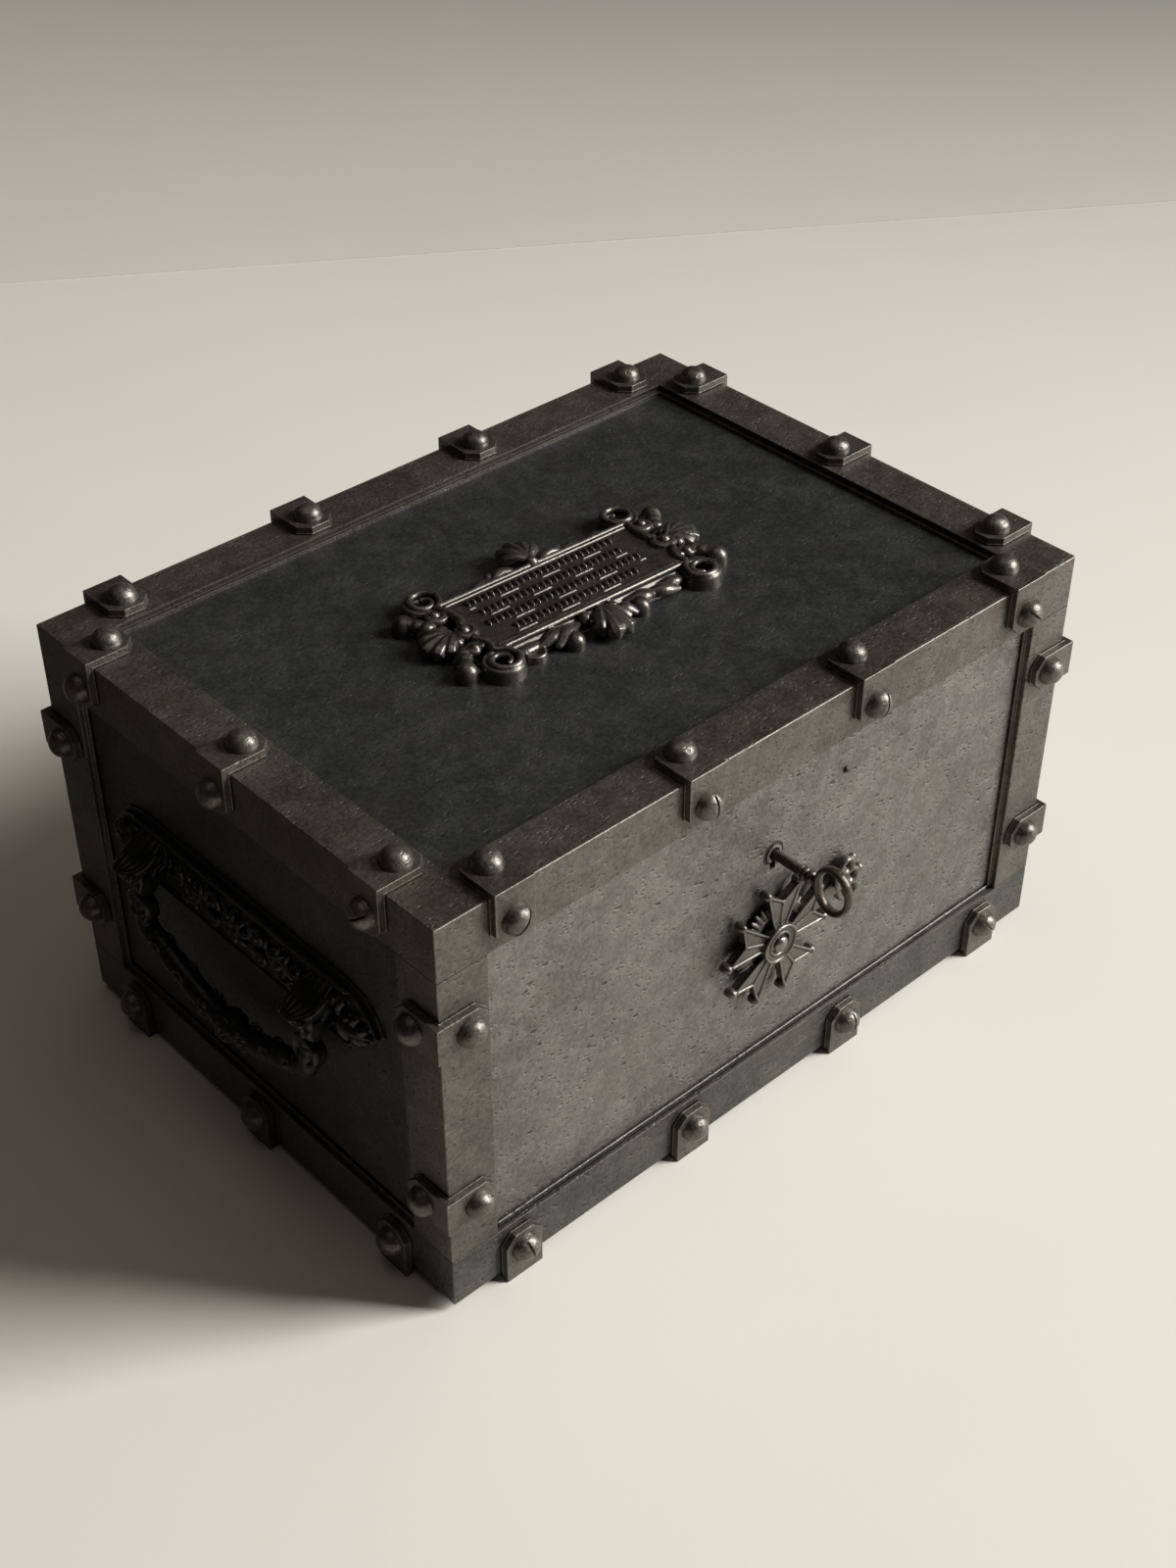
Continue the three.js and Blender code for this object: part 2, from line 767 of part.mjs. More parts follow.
// Ringed boss in the middle, pierced for its pin.
function starBoss() {
  const back = starStandoff;
  const rim = starStandoff + starBossHeight;
  const floor = rim - starGroove;
  const ringWidth = starBossRadius / starBossRings;
  const profile = [
    [0, back],
    [starBossRadius, back],
    [starBossRadius, rim - starGroove / 2],
    [starBossRadius - ringWidth / 2, rim],
    [starBossRadius - ringWidth, floor],
    [starBossRadius - 2 * ringWidth, floor],
    [starBossRadius - 2 * ringWidth - ringWidth / 2, rim - starGroove / 2],
    [starBossRadius - 3 * ringWidth, floor],
    [0, floor],
  ];
  return turned(profile, ringSides);
}

function starBody() {
  const wreath = new THREE.Shape();
  wreath.absarc(0, 0, wreathOuterRadius, 0, 2 * Math.PI);
  const inside = new THREE.Path();
  inside.absarc(0, 0, wreathInnerRadius, 0, 2 * Math.PI);
  wreath.holes.push(inside);
  const arms = Array.from({ length: starArmCount }, (_, i) =>
    moved(starArm(), [0, 0, 0], [0, 0, (360 / starArmCount) * i]),
  );
  const ring = raised(wreath, starStandoff, starStandoff + wreathThickness);
  const bore = rod(starPinRadius + seatGap, 0, starStandoff + starBossHeight + overrun);
  return join(starBoss(), ring, starFinial(), ...arms).subtract(bore);
}

// Rivet that the star turns on, headed over the boss and inside the front wall.
function starPin() {
  const headBase = starStandoff + starBossHeight - starGroove + seatGap;
  const inside = -wallThickness - seatGap;
  const profile = [
    [0, inside - starPinHeadHeight],
    [starPinHeadRadius, inside - starPinHeadHeight / 2],
    [starPinHeadRadius, inside],
    [starPinRadius, inside],
    [starPinRadius, headBase],
    [starPinHeadRadius, headBase],
    [starPinHeadRadius, headBase + starPinHeadHeight / 3],
    [starPinHeadRadius / 2, headBase + starPinHeadHeight],
    [0, headBase + starPinHeadHeight],
  ];
  return turned(profile, smallSides);
}

// Handle places: local X points out of the case's end, Y along it, Z up from the plate's centre line.
const plateFace = handlePlateThickness + seatGap - panelInset;
const earWidth = bailThickness + 2 * (runningGap + earCheek);
const earRadius = bailEyeRadius + seatGap;

// One hooded ear: two cheeks with a pin between them, under a hood that stops the lifted bail.
function ear() {
  const pivotX = bailPivotOut;
  const pivotZ = -bailPivotDrop;
  const rootTop = handlePlateHeight / 2 - earTopSetback;
  const hoodBottom = pivotZ + bailEyeRadius + seatGap;
  const points = [
    [-handlePlateThickness / 2, hoodBottom],
    [-handlePlateThickness / 2, rootTop],
    [0, rootTop],
    [earReach, hoodBottom + earTipThickness],
    [earReach, hoodBottom + earTipThickness / 2],
    [pivotX + earRadius, hoodBottom],
  ];
  for (const turnDegrees of earTurnsDegrees) {
    const angle = turnDegrees * degrees;
    points.push([pivotX + earRadius * Math.cos(angle), pivotZ + earRadius * Math.sin(angle)]);
  }
  points.push([0, pivotZ]);
  // The extrusion runs along local Y, so the profile is drawn in X and Z and stood up.
  const profile = raised(outline(points.reverse()), -earWidth / 2, earWidth / 2);
  const standing = moved(profile, [0, 0, 0], [90, 0, 0]);
  const slotHalf = bailThickness / 2 + runningGap;
  const slotBottom = pivotZ - earRadius - overrun;
  const slot = block(seatGap, earReach + overrun, -slotHalf, slotHalf, slotBottom, hoodBottom);
  const pin = moved(rod(bailPinRadius, -earWidth / 2, earWidth / 2), [pivotX, 0, pivotZ], [90, 0, 0]);
  return standing.subtract(slot).add(pin);
}

function handlePlate() {
  const halfLength = handlePlateLength / 2;
  const halfHeight = handlePlateHeight / 2;
  const shoulder = halfLength - handlePlateTaper;
  const bend = halfLength - handlePlateTaper * handleTipRoundShare;
  const shape = new THREE.Shape();
  shape.moveTo(-shoulder, -halfHeight);
  shape.lineTo(shoulder, -halfHeight);
  shape.quadraticCurveTo(bend, -halfHeight, halfLength, 0);
  shape.quadraticCurveTo(bend, halfHeight, shoulder, halfHeight);
  shape.lineTo(-shoulder, halfHeight);
  shape.quadraticCurveTo(-bend, halfHeight, -halfLength, 0);
  shape.quadraticCurveTo(-bend, -halfHeight, -shoulder, -halfHeight);
  const back = plateFace - handlePlateThickness;
  // The outline is drawn flat, then stood up to look out along +X.
  const flat = moved(raised(shape, back, plateFace, plateTipSides), [0, 0, 0], [0, 90, 90]);
  const borders = [-1, 1].map((side) => {
    const bar = rod(handleBorderRadius, -shoulder, shoulder, tubeSides);
    return moved(bar, [plateFace, 0, side * (halfHeight - handleBorderRadius)], [90, 0, 0]);
  });
  const sink = -handlePlateThickness / 2;
  const face = rosetteShares.map(([outShare, upShare]) => [
    outShare * rosetteRadius,
    upShare * rosetteHeight,
  ]);
  const rosette = turned([[0, sink], [rosetteRadius, sink], ...face], smallSides);
  const leafMiddle = rosetteRadius + leafLength / 2;
  const leaves = [-1, 1].map((side) =>
    blob(plateFace, side * leafMiddle, 0, rosetteHeight, leafLength / 2, leafHeight / 2),
  );
  const ears = [-1, 1].map((side) => moved(ear(), [plateFace, (side * earSpacing) / 2, 0]));
  return join(flat, moved(rosette, [plateFace, 0, 0], [0, 90, 0]), ...borders, ...leaves, ...ears);
}

// Bail, hanging: local origin midway between its eyes, Y along the case and Z up.
function bailBody() {
  const armY = earSpacing / 2;
  const bottom = -bailDrop;
  const scrollZ = -bailScrollDrop;
  const half = [
    [armY, scrollZ],
    [armY - bailBarRadius / 2, scrollZ - bailScrollRadius],
    ...bailBendShares.map(([outShare, downShare]) => [armY * outShare, bottom * downShare]),
  ];
  const points = [...half, [0, bottom], ...half.map(([y, z]) => [-y, z]).reverse()];
  const curve = new THREE.CatmullRomCurve3(points.map(([y, z]) => new THREE.Vector3(0, y, z)));
  const bar = swept(curve, bailBarRadius, bailSteps);
  const flat = bailThickness / 2;
  const ends = [-1, 1].map((side) => {
    const y = side * armY;
    const eye = moved(rod(bailEyeRadius, -flat, flat), [0, y, 0], [90, 0, 0]);
    const scroll = moved(rod(bailScrollRadius, -flat, flat, bailScrollSides), [0, y, scrollZ], [0, 90, 0]);
    const neck = block(-flat, flat, y - flat, y + flat, scrollZ, 0);
    const bore = moved(rod(bailPinRadius + seatGap, -bailThickness, bailThickness), [0, y, 0], [90, 0, 0]);
    return join(eye, neck, scroll).subtract(bore);
  });
  const bossHalf = flat + bailBossProud;
  const boss = moved(rod(bailBossRadius, -bossHalf, bossHalf), [0, 0, bottom], [0, 90, 0]);
  return join(bar, boss, ...ends);
}

// The handle group for the end that local +X points out of.
function handle(side) {
  const group = new THREE.Group();
  const plate = mesh(`${side}_handle_plate`, handlePlate(), ironDark);
  const bail = mesh(`${side}_bail`, bailBody(), ironDark);
  bail.position.set(plateFace + bailPivotOut, 0, -bailPivotDrop);
  group.add(plate, bail);
  const facing = side === "right" ? 1 : -1;
  group.position.set(facing * halfWidth, 0, caseBottom + handlePlateCentre);
  group.rotation.z = facing === 1 ? 0 : Math.PI;
  return group;
}

// A fan of ribs on the plaque, opening along local +Y from its root.
function shell() {
  const ribs = Array.from({ length: shellRibCount }, (_, i) => {
    const sideShare = i / (shellRibCount - 1) - 1 / 2;
    const angle = sideShare * shellSpreadDegrees * degrees;
    const length = shellRadius * (1 - sideShare * sideShare);
    const x = (-Math.sin(angle) * length) / 2;
    const y = (Math.cos(angle) * length) / 2;
    return blob(x, y, 0, shellRibRadius, length / 2, shellHeight, angle);
  });
  return join(...ribs);
}

// A rolled end of strapwork: a dished cone with a hollow in its middle.
function roll(base) {
  const top = base + rollHeight;
  const dish = top - rollDishDepth;
  return turned(
    [
      [0, base],
      [rollFootRadius, base],
      [rollTopRadius, top],
      [rollTopRadius - rollLip, top],
      [rollHollowRadius, dish],
      [rollHollowRadius, dish - rollDishDepth / 2],
      [0, dish - rollDishDepth / 2],
    ],
    rollSides,
  );
}

function plaqueBack() {
  const length = plaqueFieldLength / 2;
  const width = plaqueFieldWidth / 2;
  const farLength = length + plaqueMarginLength;
  const farWidth = width + plaqueMarginWidth;
  return outline([
    [-length, -farWidth],
    [length, -farWidth],
    [farLength, -width],
    [farLength, width],
    [length, farWidth],
    [-length, farWidth],
    [-farLength, width],
    [-farLength, -width],
  ]);
}

function plaque() {
  const base = lidPanelTop + seatGap;
  const floor = base + plaqueBackThickness;
  const length = plaqueFieldLength / 2;
  const width = plaqueFieldWidth / 2;
  const pieces = [
    raised(plaqueBack(), base, floor),
    raised(rectangle(length, width), base, base + plaqueFieldThickness),
  ];
  for (const y of [-1, 1]) {
    const border = rod(plaqueBorderRadius, -length, length, tubeSides);
    pieces.push(
      moved(border, [0, y * width, base + plaqueFieldThickness], [0, 90, 0]),
      moved(shell(), [0, y * width, floor], [0, 0, y > 0 ? 0 : 180]),
      moved(shell(), [y * length, 0, floor], [0, 0, -y * 90]),
    );
    for (const x of [-1, 1]) {
      pieces.push(
        moved(roll(base), [x * (length + rollOut), y * (width + rollAside), 0]),
        blob(x * (length + budOut), y * (width + budAside), floor, budRadius, budRadius, budHeight),
      );
    }
  }
  const below = block(-halfWidth, halfWidth, -halfDepth, halfDepth, seam, base);
  return moved(join(...pieces), [0, 0, 0], [0, 0, plaqueTurnDegrees]).subtract(below);
}

const strongbox = new THREE.Group();
strongbox.position.y = (frontReach - backReach) / 2;

const caseGroup = new THREE.Group();
const star = placeOnFront(mesh("star_keyhole_cover", starBody(), ironBright), starHeight, frontPanel);
star.rotation.z = -starSwungDegrees * degrees;
caseGroup.add(
  mesh("case_walls", caseWalls(), ironPanel),
  mesh("case_floor", caseFloor(), ironPanel),
  mesh("base_frame", baseFrame(), ironDark),
  cornerPosts(),
  clipRow("base", caseBottom, -1, false),
  postClips(),
  mesh("hinge_body_leaf", bodyHingeLeaf(), steel),
  mesh("hinge_pin", hingePin(), steel),
  mesh("lock_case", lockCase(), steel),
  mesh("lock_bolt", lockBolt(), steel),
  placeOnFront(mesh("key", keyBody(), steel), keyholeHeight, frontFace),
  placeOnFront(mesh("star_pin", starPin(), steel), starHeight, frontPanel),
  star,
  handle("left"),
  handle("right"),
);

const lidGroup = new THREE.Group();
lidGroup.add(
  mesh("lid_skirt", lidSkirt(), ironDark),
  mesh("lid_border", lidBorder(), ironDark),
  mesh("lid_panel", lidPanel(), ironBlue),
  mesh("lid_plaque", plaque(), ironBright),
  mesh("lock_keeper", lockKeeper(), steel),
  mesh("hinge_lid_leaf", lidHingeLeaf(), steel),
  clipRow("lid", caseTop, 1, true),
);

strongbox.add(caseGroup, lidGroup);

export default strongbox;
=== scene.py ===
"""Looks of the iron strongbox: cast and plate iron, worn at its edges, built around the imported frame.

Pieces are made in millimetres in frames of their own and put in place in the row frame, in metres.
A relief's own frame has X along it, Y up it and Z out of the face that it stands on.
"""

import json
import math
from contextlib import contextmanager

import bmesh
import bpy
import numpy as np
from mathutils import Matrix, Vector, noise

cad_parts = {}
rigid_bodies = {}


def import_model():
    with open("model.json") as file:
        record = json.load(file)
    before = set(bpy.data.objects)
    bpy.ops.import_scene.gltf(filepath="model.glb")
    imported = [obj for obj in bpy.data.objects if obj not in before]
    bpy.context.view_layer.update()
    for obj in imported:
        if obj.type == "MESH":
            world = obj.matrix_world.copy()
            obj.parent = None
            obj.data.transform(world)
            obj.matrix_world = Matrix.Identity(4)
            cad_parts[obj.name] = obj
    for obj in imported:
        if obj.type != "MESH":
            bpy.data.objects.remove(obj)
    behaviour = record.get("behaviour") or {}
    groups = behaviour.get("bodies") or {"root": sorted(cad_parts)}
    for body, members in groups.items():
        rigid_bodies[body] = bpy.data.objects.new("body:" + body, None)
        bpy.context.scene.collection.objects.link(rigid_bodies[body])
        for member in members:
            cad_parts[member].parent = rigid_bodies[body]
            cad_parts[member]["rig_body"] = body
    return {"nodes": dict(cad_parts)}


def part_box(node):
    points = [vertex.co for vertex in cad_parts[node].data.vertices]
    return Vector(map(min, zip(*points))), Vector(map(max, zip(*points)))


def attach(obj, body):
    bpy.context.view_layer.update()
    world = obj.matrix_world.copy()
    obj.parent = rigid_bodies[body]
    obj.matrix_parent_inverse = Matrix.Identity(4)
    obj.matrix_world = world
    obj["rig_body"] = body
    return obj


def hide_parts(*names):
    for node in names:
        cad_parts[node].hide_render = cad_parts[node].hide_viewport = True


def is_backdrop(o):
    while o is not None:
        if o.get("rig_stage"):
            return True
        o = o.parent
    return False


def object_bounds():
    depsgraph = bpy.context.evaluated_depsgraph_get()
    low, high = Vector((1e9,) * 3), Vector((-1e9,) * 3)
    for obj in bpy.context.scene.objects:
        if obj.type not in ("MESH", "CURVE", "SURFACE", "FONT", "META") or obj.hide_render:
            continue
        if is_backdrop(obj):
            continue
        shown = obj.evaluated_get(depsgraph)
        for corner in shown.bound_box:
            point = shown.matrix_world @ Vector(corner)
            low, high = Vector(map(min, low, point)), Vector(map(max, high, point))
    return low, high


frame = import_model()
cad_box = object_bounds()

MM = 0.001
TURN = 2 * math.pi

# Vertices this near to each other in height are level. Faces lie in one plane when the product of their
# normals is above the second value, and a mesh is a fine one when it has more vertices than the third.
LEVEL = 0.1 * MM
ONE_PLANE = 0.9999
FINE_MESH = 20000

# Sizes that the part's source has too.
SEAT_GAP = 0.3
PANEL_INSET = 3.5
CLIP_STAND = 3.0
CLIP_REACH = 18
CLIP_CORNER_CUT = 4
HEAD_SETBACK = 10
EAR_SPACING = 97
PIVOT_OUT = 8.0
PIVOT_DROP = 4.5
PLATE_FACE = -0.2
PLATE_LENGTH = 150
PLATE_HEIGHT = 25
PLATE_TAPER = 17
BAIL_SCROLL_DROP = 12
STAR_SWING = math.radians(77)
STAR_ARMS = 5
KEY_BOW_OUT = 24.1
KEY_BOW_RADIUS = 8.3
FIELD_LENGTH = 86
FIELD_WIDTH = 34
FIELD_TOP = 5.4
PLAQUE_TURN = math.radians(-2.5)

# Sizes of the looks alone.
CLIP_FOOT_RIM = 0.35
CLIP_FOOT_STAND = 0.7
HEAD_RADIUS = 5.5
HEAD_HEIGHT = 5.0
HEAD_SIDES = 28
HEAD_COLLAR = 0.85
SLOT_WIDTH = 0.95
SLOT_DEPTH = 2.4
STAR_TIP = 24.6
KEY_BOW_HALF_HEIGHT = 7.0
KEY_BOW_HALF_WIDTH = 8.9
FIELD_ROW_PITCH = 7.0
FIELD_ROW_STUDS = (21, 26, 24, 25)
FIELD_STUD_PITCH = 2.7
PLAQUE_SHIFT = (-0.7, 1.2, 0)

# Edges steeper than this are rounded. The widths of the roundings, and how far from an edge its shading has
# faded out.
STEEP = math.radians(35)
FRAME_BEVEL = 0.4
PLATE_BEVEL = 0.3
FITTED_BEVEL = 0.08
CLIP_BEVEL = 0.28
HEAD_BEVEL = 0.16
FADE = 1.5
FITTED_FADE = 0.3

# Voxels that fuse the shells of a casting.
FINE_VOXEL = 0.28
CAST_VOXEL = 0.34

# Where the painted shade on the end walls starts and is full, in metres from the middle.
END_SHADE = (0.1452, 0.1458)

# Two points of the seam between the tables, the way towards the far side of the room and the way to the
# picture's left edge. The tables' colour holds painted shade along each way, between its two distances. All
# are in metres.
SEAM_START = Vector((0.149, 0.703))
SEAM_END = Vector((0.791, 0.285))
FAR_WAY = (0.848, 0.53, 0)
FAR_SHADE = (-0.4, 1.5)
LEFT_WAY = (-0.861, 0.509, 0)
LEFT_SHADE = (0.25, 0.34)

SIDES = {
    "front": Vector((0, -1, 0)),
    "back": Vector((0, 1, 0)),
    "left": Vector((-1, 0, 0)),
    "right": Vector((1, 0, 0)),
    "lid": Vector((0, 0, 1)),
    "base": Vector((0, 0, -1)),
}

# Turns of the screwdriver slots in the heads that have one, in degrees.
SLOT_TURNS = {
    "lid_clip_front_1": 46,
    "lid_clip_front_2": 87,
    "lid_clip_front_3": 70,
    "lid_clip_front_4": -45,
    "base_clip_front_1": -76,
    "base_clip_front_3": 80,
    "base_clip_front_4": -52,
    "lid_clip_left_1": 36,
}


# Shader nodes


class Reading:
    """A value on a surface, from one node's socket. Arithmetic on it adds the Math nodes."""

    def __init__(self, finish, socket):
        self.finish = finish
        self.socket = socket

    def _math(self, operation, first, second):
        return self.finish.node("ShaderNodeMath", {"operation": operation}, {0: first, 1: second})

    def __add__(self, other):
        return self._math("ADD", self, other)

    def __radd__(self, other):
        return self._math("ADD", other, self)

    def __sub__(self, other):
        return self._math("SUBTRACT", self, other)

    def __rsub__(self, other):
        return self._math("SUBTRACT", other, self)

    def __mul__(self, other):
        return self._math("MULTIPLY", self, other)

    def __rmul__(self, other):
        return self._math("MULTIPLY", other, self)

    def between(self, low, high):
        """0 below low and 1 above high, with a smooth rise."""
        sockets = {"Value": self, "From Min": low, "From Max": high}
        return self.finish.node("ShaderNodeMapRange", {"interpolation_type": "SMOOTHSTEP"}, sockets)


class Finish:
    """A material, built node by node."""

    def __init__(self, name):
        self.material = bpy.data.materials.new(name)
        self.material.use_nodes = True
        self.tree = self.material.node_tree
        self.tree.nodes.clear()

    def node(self, kind, settings=None, sockets=None, output=0):
        made = self.tree.nodes.new(kind)
        for key, value in (settings or {}).items():
            setattr(made, key, value)
        for key, value in (sockets or {}).items():
            if isinstance(value, Reading):
                self.tree.links.new(value.socket, made.inputs[key])
            else:
                made.inputs[key].default_value = value
        return Reading(self, made.outputs[output])

    def place(self):
        return self.node("ShaderNodeTexCoord", output="Object")

    def clouds(self, size, detail, roughness=0.6, distortion=0.0):
        """Noise from 0 to 1 with features of about this size in millimetres."""
        sockets = {"Vector": self.place(), "Scale": 1 / (size * MM), "Detail": detail}
        sockets |= {"Roughness": roughness, "Distortion": distortion}
        return self.node("ShaderNodeTexNoise", None, sockets)

    def cells(self, size, stretch):
        """Distance from the nearest of scattered points about this far apart, drawn out along the front."""
        drawn = self.node("ShaderNodeMapping", None, {"Vector": self.place(), "Scale": (1 / stretch, 1, 1)})
        return self.node("ShaderNodeTexVoronoi", None, {"Vector": drawn, "Scale": 1 / (size * MM)})

    def streaks(self, size, stretch, turn):
        """Noise drawn out this many times along one direction, in the planes that the box's sides lie in."""
        settings = {"Vector": self.place(), "Rotation": (turn, turn, turn), "Scale": (1 / stretch, 1, 1)}
        turned = self.node("ShaderNodeMapping", None, settings)
        sockets = {"Vector": turned, "Scale": 1 / (size * MM), "Detail": 3.0, "Roughness": 0.6}
        return self.node("ShaderNodeTexNoise", None, sockets)

    def beyond(self, start, direction, near, far):
        """0 nearer than one distance from a place along a direction, and 1 past another."""
        offset = self.node("ShaderNodeVectorMath", {"operation": "SUBTRACT"}, {0: self.place(), 1: start})
        sockets = {0: offset, 1: direction}
        depth = self.node("ShaderNodeVectorMath", {"operation": "DOT_PRODUCT"}, sockets, output=1)
        return depth.between(near, far)

    def pitting(self):
        """1 in scattered pits of two sizes, and 0 between them."""
        pit = (1 - self.cells(4.2, 1.9).between(0.1, 0.2)) * self.clouds(13, 2.0).between(0.44, 0.56)
        small_pit = (1 - self.cells(1.9, 1.7).between(0.18, 0.34)) * self.clouds(9, 2.0).between(0.4, 0.54)
        return (pit * 0.8 + small_pit * 0.6).between(0.0, 1.0)

    def bend(self):
        """How sharply the surface bends, per millimetre: above 0 on edges and below 0 in creases."""
        return self.node("ShaderNodeAttribute", {"attribute_name": "bend"}, output="Fac")

    def mix(self, share, first, second):
        sockets = {0: share, 6: first, 7: second}
        return self.node("ShaderNodeMix", {"data_type": "RGBA"}, sockets, output=2)

    def finished(self, colour, roughness, height, depth, metallic):
        bump = self.node("ShaderNodeBump", None, {"Height": height, "Distance": depth * MM, "Strength": 1.0})
        sockets = {"Base Color": colour, "Roughness": roughness, "Normal": bump, "Metallic": metallic}
        shader = self.node("ShaderNodeBsdfPrincipled", None, sockets)
        out = self.tree.nodes.new("ShaderNodeOutputMaterial")
        self.tree.links.new(shader.socket, out.inputs["Surface"])
        return self.material


def grey(level, warmth):
    """A linear grey, warmed towards brown or, below 0, cooled towards blue."""
    return (level * (1 + warmth), level, level * (1 - warmth), 1.0)


def iron(name, greys, wear, rub, roughness, pits, grain, metallic=0.75, painted_end_shade=False):
    """Old iron: mottled, stained, scratched and pitted, darkened in its creases by painted shade and dirt,
    and rubbed on its edges.
    """
    dark, light, stain, worn = (grey(*shade) for shade in greys)
    finish = Finish(name)
    broad = finish.clouds(45, 5.0, 0.62, 0.6)
    mottle = finish.clouds(9, 8.0, 0.72)
    speckle = finish.clouds(1.5, 4.0, 0.7)
    blend = broad.between(0.4, 0.6) * 0.24 + mottle.between(0.41, 0.59) * 0.34
    colour = finish.mix(blend + speckle.between(0.4, 0.6) * 0.42, dark, light)
    patches = finish.clouds(26, 7.0, 0.72, 1.2).between(0.52, 0.74) * (0.25 + mottle * 0.8)
    colour = finish.mix(patches, colour, stain)
    scratch = finish.streaks(1.0, 14, 0.6).between(0.6, 0.72) * broad.between(0.4, 0.6)
    colour = finish.mix(scratch * 0.3, colour, worn)
    hollow = finish.pitting() * pits
    colour = finish.mix(hollow * 0.8, colour, grey(0.015, 0.2))
    bend = finish.bend()
    # Painted shade and dirt: the colour darkens to near black where the surface bends inwards, in creases,
    # slots and joins.
    crease_shade_and_dirt = (0 - bend).between(0.05, 0.7)
    colour = finish.mix(crease_shade_and_dirt * 0.75, colour, grey(0.008, 0.2))
    rubbed = (bend + (mottle - 0.5) * 1.2 + (speckle - 0.5) * 0.6).between(*wear) * rub
    colour = finish.mix(rubbed, colour, worn)
    # Painted shade: the end walls darken towards black past these distances from the middle.
    if painted_end_shade:
        ends = sum(finish.beyond((0, 0, 0), (side, 0, 0), *END_SHADE) for side in (1, -1))
        colour = finish.mix(ends * 0.62, colour, grey(0.012, 0.2))
    rough = roughness + (mottle - 0.5) * 0.26 + (speckle - 0.5) * 0.2 + hollow * 0.2
    rough = rough - rubbed * 0.1 + crease_shade_and_dirt * 0.2 - scratch * 0.08
    height = (mottle - 0.5) * 0.5 * grain + (speckle - 0.5) * 0.5 * grain - hollow - scratch * 0.12
    return finish.finished(colour, rough, height, 0.28, metallic)


def pale_table(name, tint):
    """A pale painted table, whose colour holds painted shade towards the far side of the room and beyond the
    picture's left edge.
    """
    finish = Finish(name)
    cloud = finish.clouds(160, 3.0)
    far_shade, low, high = [(*(level * share for share in tint), 1.0) for level in (0.05, 0.98, 1.02)]
    colour = finish.mix(cloud, low, high)
    # Painted shade: darker towards the far side of the room, and darker still beyond the picture's left edge.
    colour = finish.mix(finish.beyond((*SEAM_START, 0), FAR_WAY, *FAR_SHADE), colour, far_shade)
    colour = finish.mix(finish.beyond((0, 0, 0), LEFT_WAY, *LEFT_SHADE), colour, (0.13, 0.12, 0.11, 1.0))
    return finish.finished(colour, 0.55 + cloud * 0.1, finish.clouds(3, 2.0), 0.02, 0.0)


# Mesh work


def band(near, far, count):
    """The faces between two rings of this many points, which start at these two indices."""
    pairs = [(j, (j + 1) % count) for j in range(count)]
    return [(near + a, near + b, far + b, far + a) for a, b in pairs]


def shell_mesh(points, faces):
    mesh = bpy.data.meshes.new("shell")
    mesh.from_pydata([tuple(p) for p in points], [], [tuple(f) for f in faces])
    mesh.update()
    return mesh


def scene_object(name, data):
    obj = bpy.data.objects.new(name, data)
    bpy.context.scene.collection.objects.link(obj)
    return obj


def worked(mesh, *modifiers):
    """The mesh after the given modifiers, each a type with its settings."""
    obj = scene_object("work", mesh)
    for kind, settings in modifiers:
        modifier = obj.modifiers.new(kind, kind)
        for key, value in settings.items():
            setattr(modifier, key, value)
    depsgraph = bpy.context.evaluated_depsgraph_get()
    made = bpy.data.meshes.new_from_object(obj.evaluated_get(depsgraph), depsgraph=depsgraph)
    bpy.data.objects.remove(obj)
    return made


def joined(*parts):
    """One mesh from several, each with the matrix that puts it in place."""
    bm = bmesh.new()
    for mesh, place in parts:
        copy = mesh.copy()
        copy.transform(place)
        bm.from_mesh(copy)
        bpy.data.meshes.remove(copy)
    mesh = bpy.data.meshes.new("joined")
    bm.to_mesh(mesh)
    bm.free()
    return mesh


@contextmanager
def edited(mesh):
    """The mesh's bmesh for a with block, written back at the end of it."""
    bm = bmesh.new()
    bm.from_mesh(mesh)
    yield bm
    bm.to_mesh(mesh)
    bm.free()


def flat_regions(bm):
    """The faces in groups that touch and lie in one plane."""
    left = set(bm.faces)
    while left:
        region, waiting = set(), [left.pop()]
        while waiting:
            face = waiting.pop()
            region.add(face)
            near = {other for edge in face.edges for other in edge.link_faces if other in left}
            near = {other for other in near if other.normal.dot(face.normal) > ONE_PLANE}
            left -= near
            waiting += near
        yield region


def at_joint(vertices, joints):
    """Whether these vertices all lie at the height of one of the joints between stacked pieces."""
    return any(all(abs(vertex.co.z - height) < LEVEL for vertex in vertices) for height in joints)


def rimmed(mesh, rim, joints):
    """Adds an edge loop inside each broad flat, so that its shading evens out this near to its edges."""
    with edited(mesh) as bm:
        broad = []
        for region in flat_regions(bm):
            if at_joint([vertex for face in region for vertex in face.verts], joints):
                continue
            edges = {edge for face in region for edge in face.edges}
            border = sum(edge.calc_length() for edge in edges if not region.issuperset(edge.link_faces))
            mean_width = 2 * sum(face.calc_area() for face in region) / border
            if mean_width > 2.5 * rim:
                broad += region
        bmesh.ops.inset_region(bm, faces=broad, thickness=rim, use_even_offset=True, use_boundary=True)
    return mesh


def weigh_edges(mesh, joints):
    """Marks the steep edges for a bevel, all but those that lie at a joint."""
    with edited(mesh) as bm:
        weights = bm.edges.layers.float.new("bevel_weight_edge")
        for edge in bm.edges:
            if len(edge.link_faces) == 2 and edge.calc_face_angle() > STEEP:
                edge[weights] = float(not at_joint(edge.verts, joints))
    return mesh


def sharpened(mesh, joints):
    """Smooth shading all over but across the steep edges at the joints."""
    mesh.shade_smooth()
    with edited(mesh) as bm:
        for edge in bm.edges:
            if len(edge.link_faces) == 2 and at_joint(edge.verts, joints):
                edge.smooth = edge.calc_face_angle() < STEEP
    return mesh


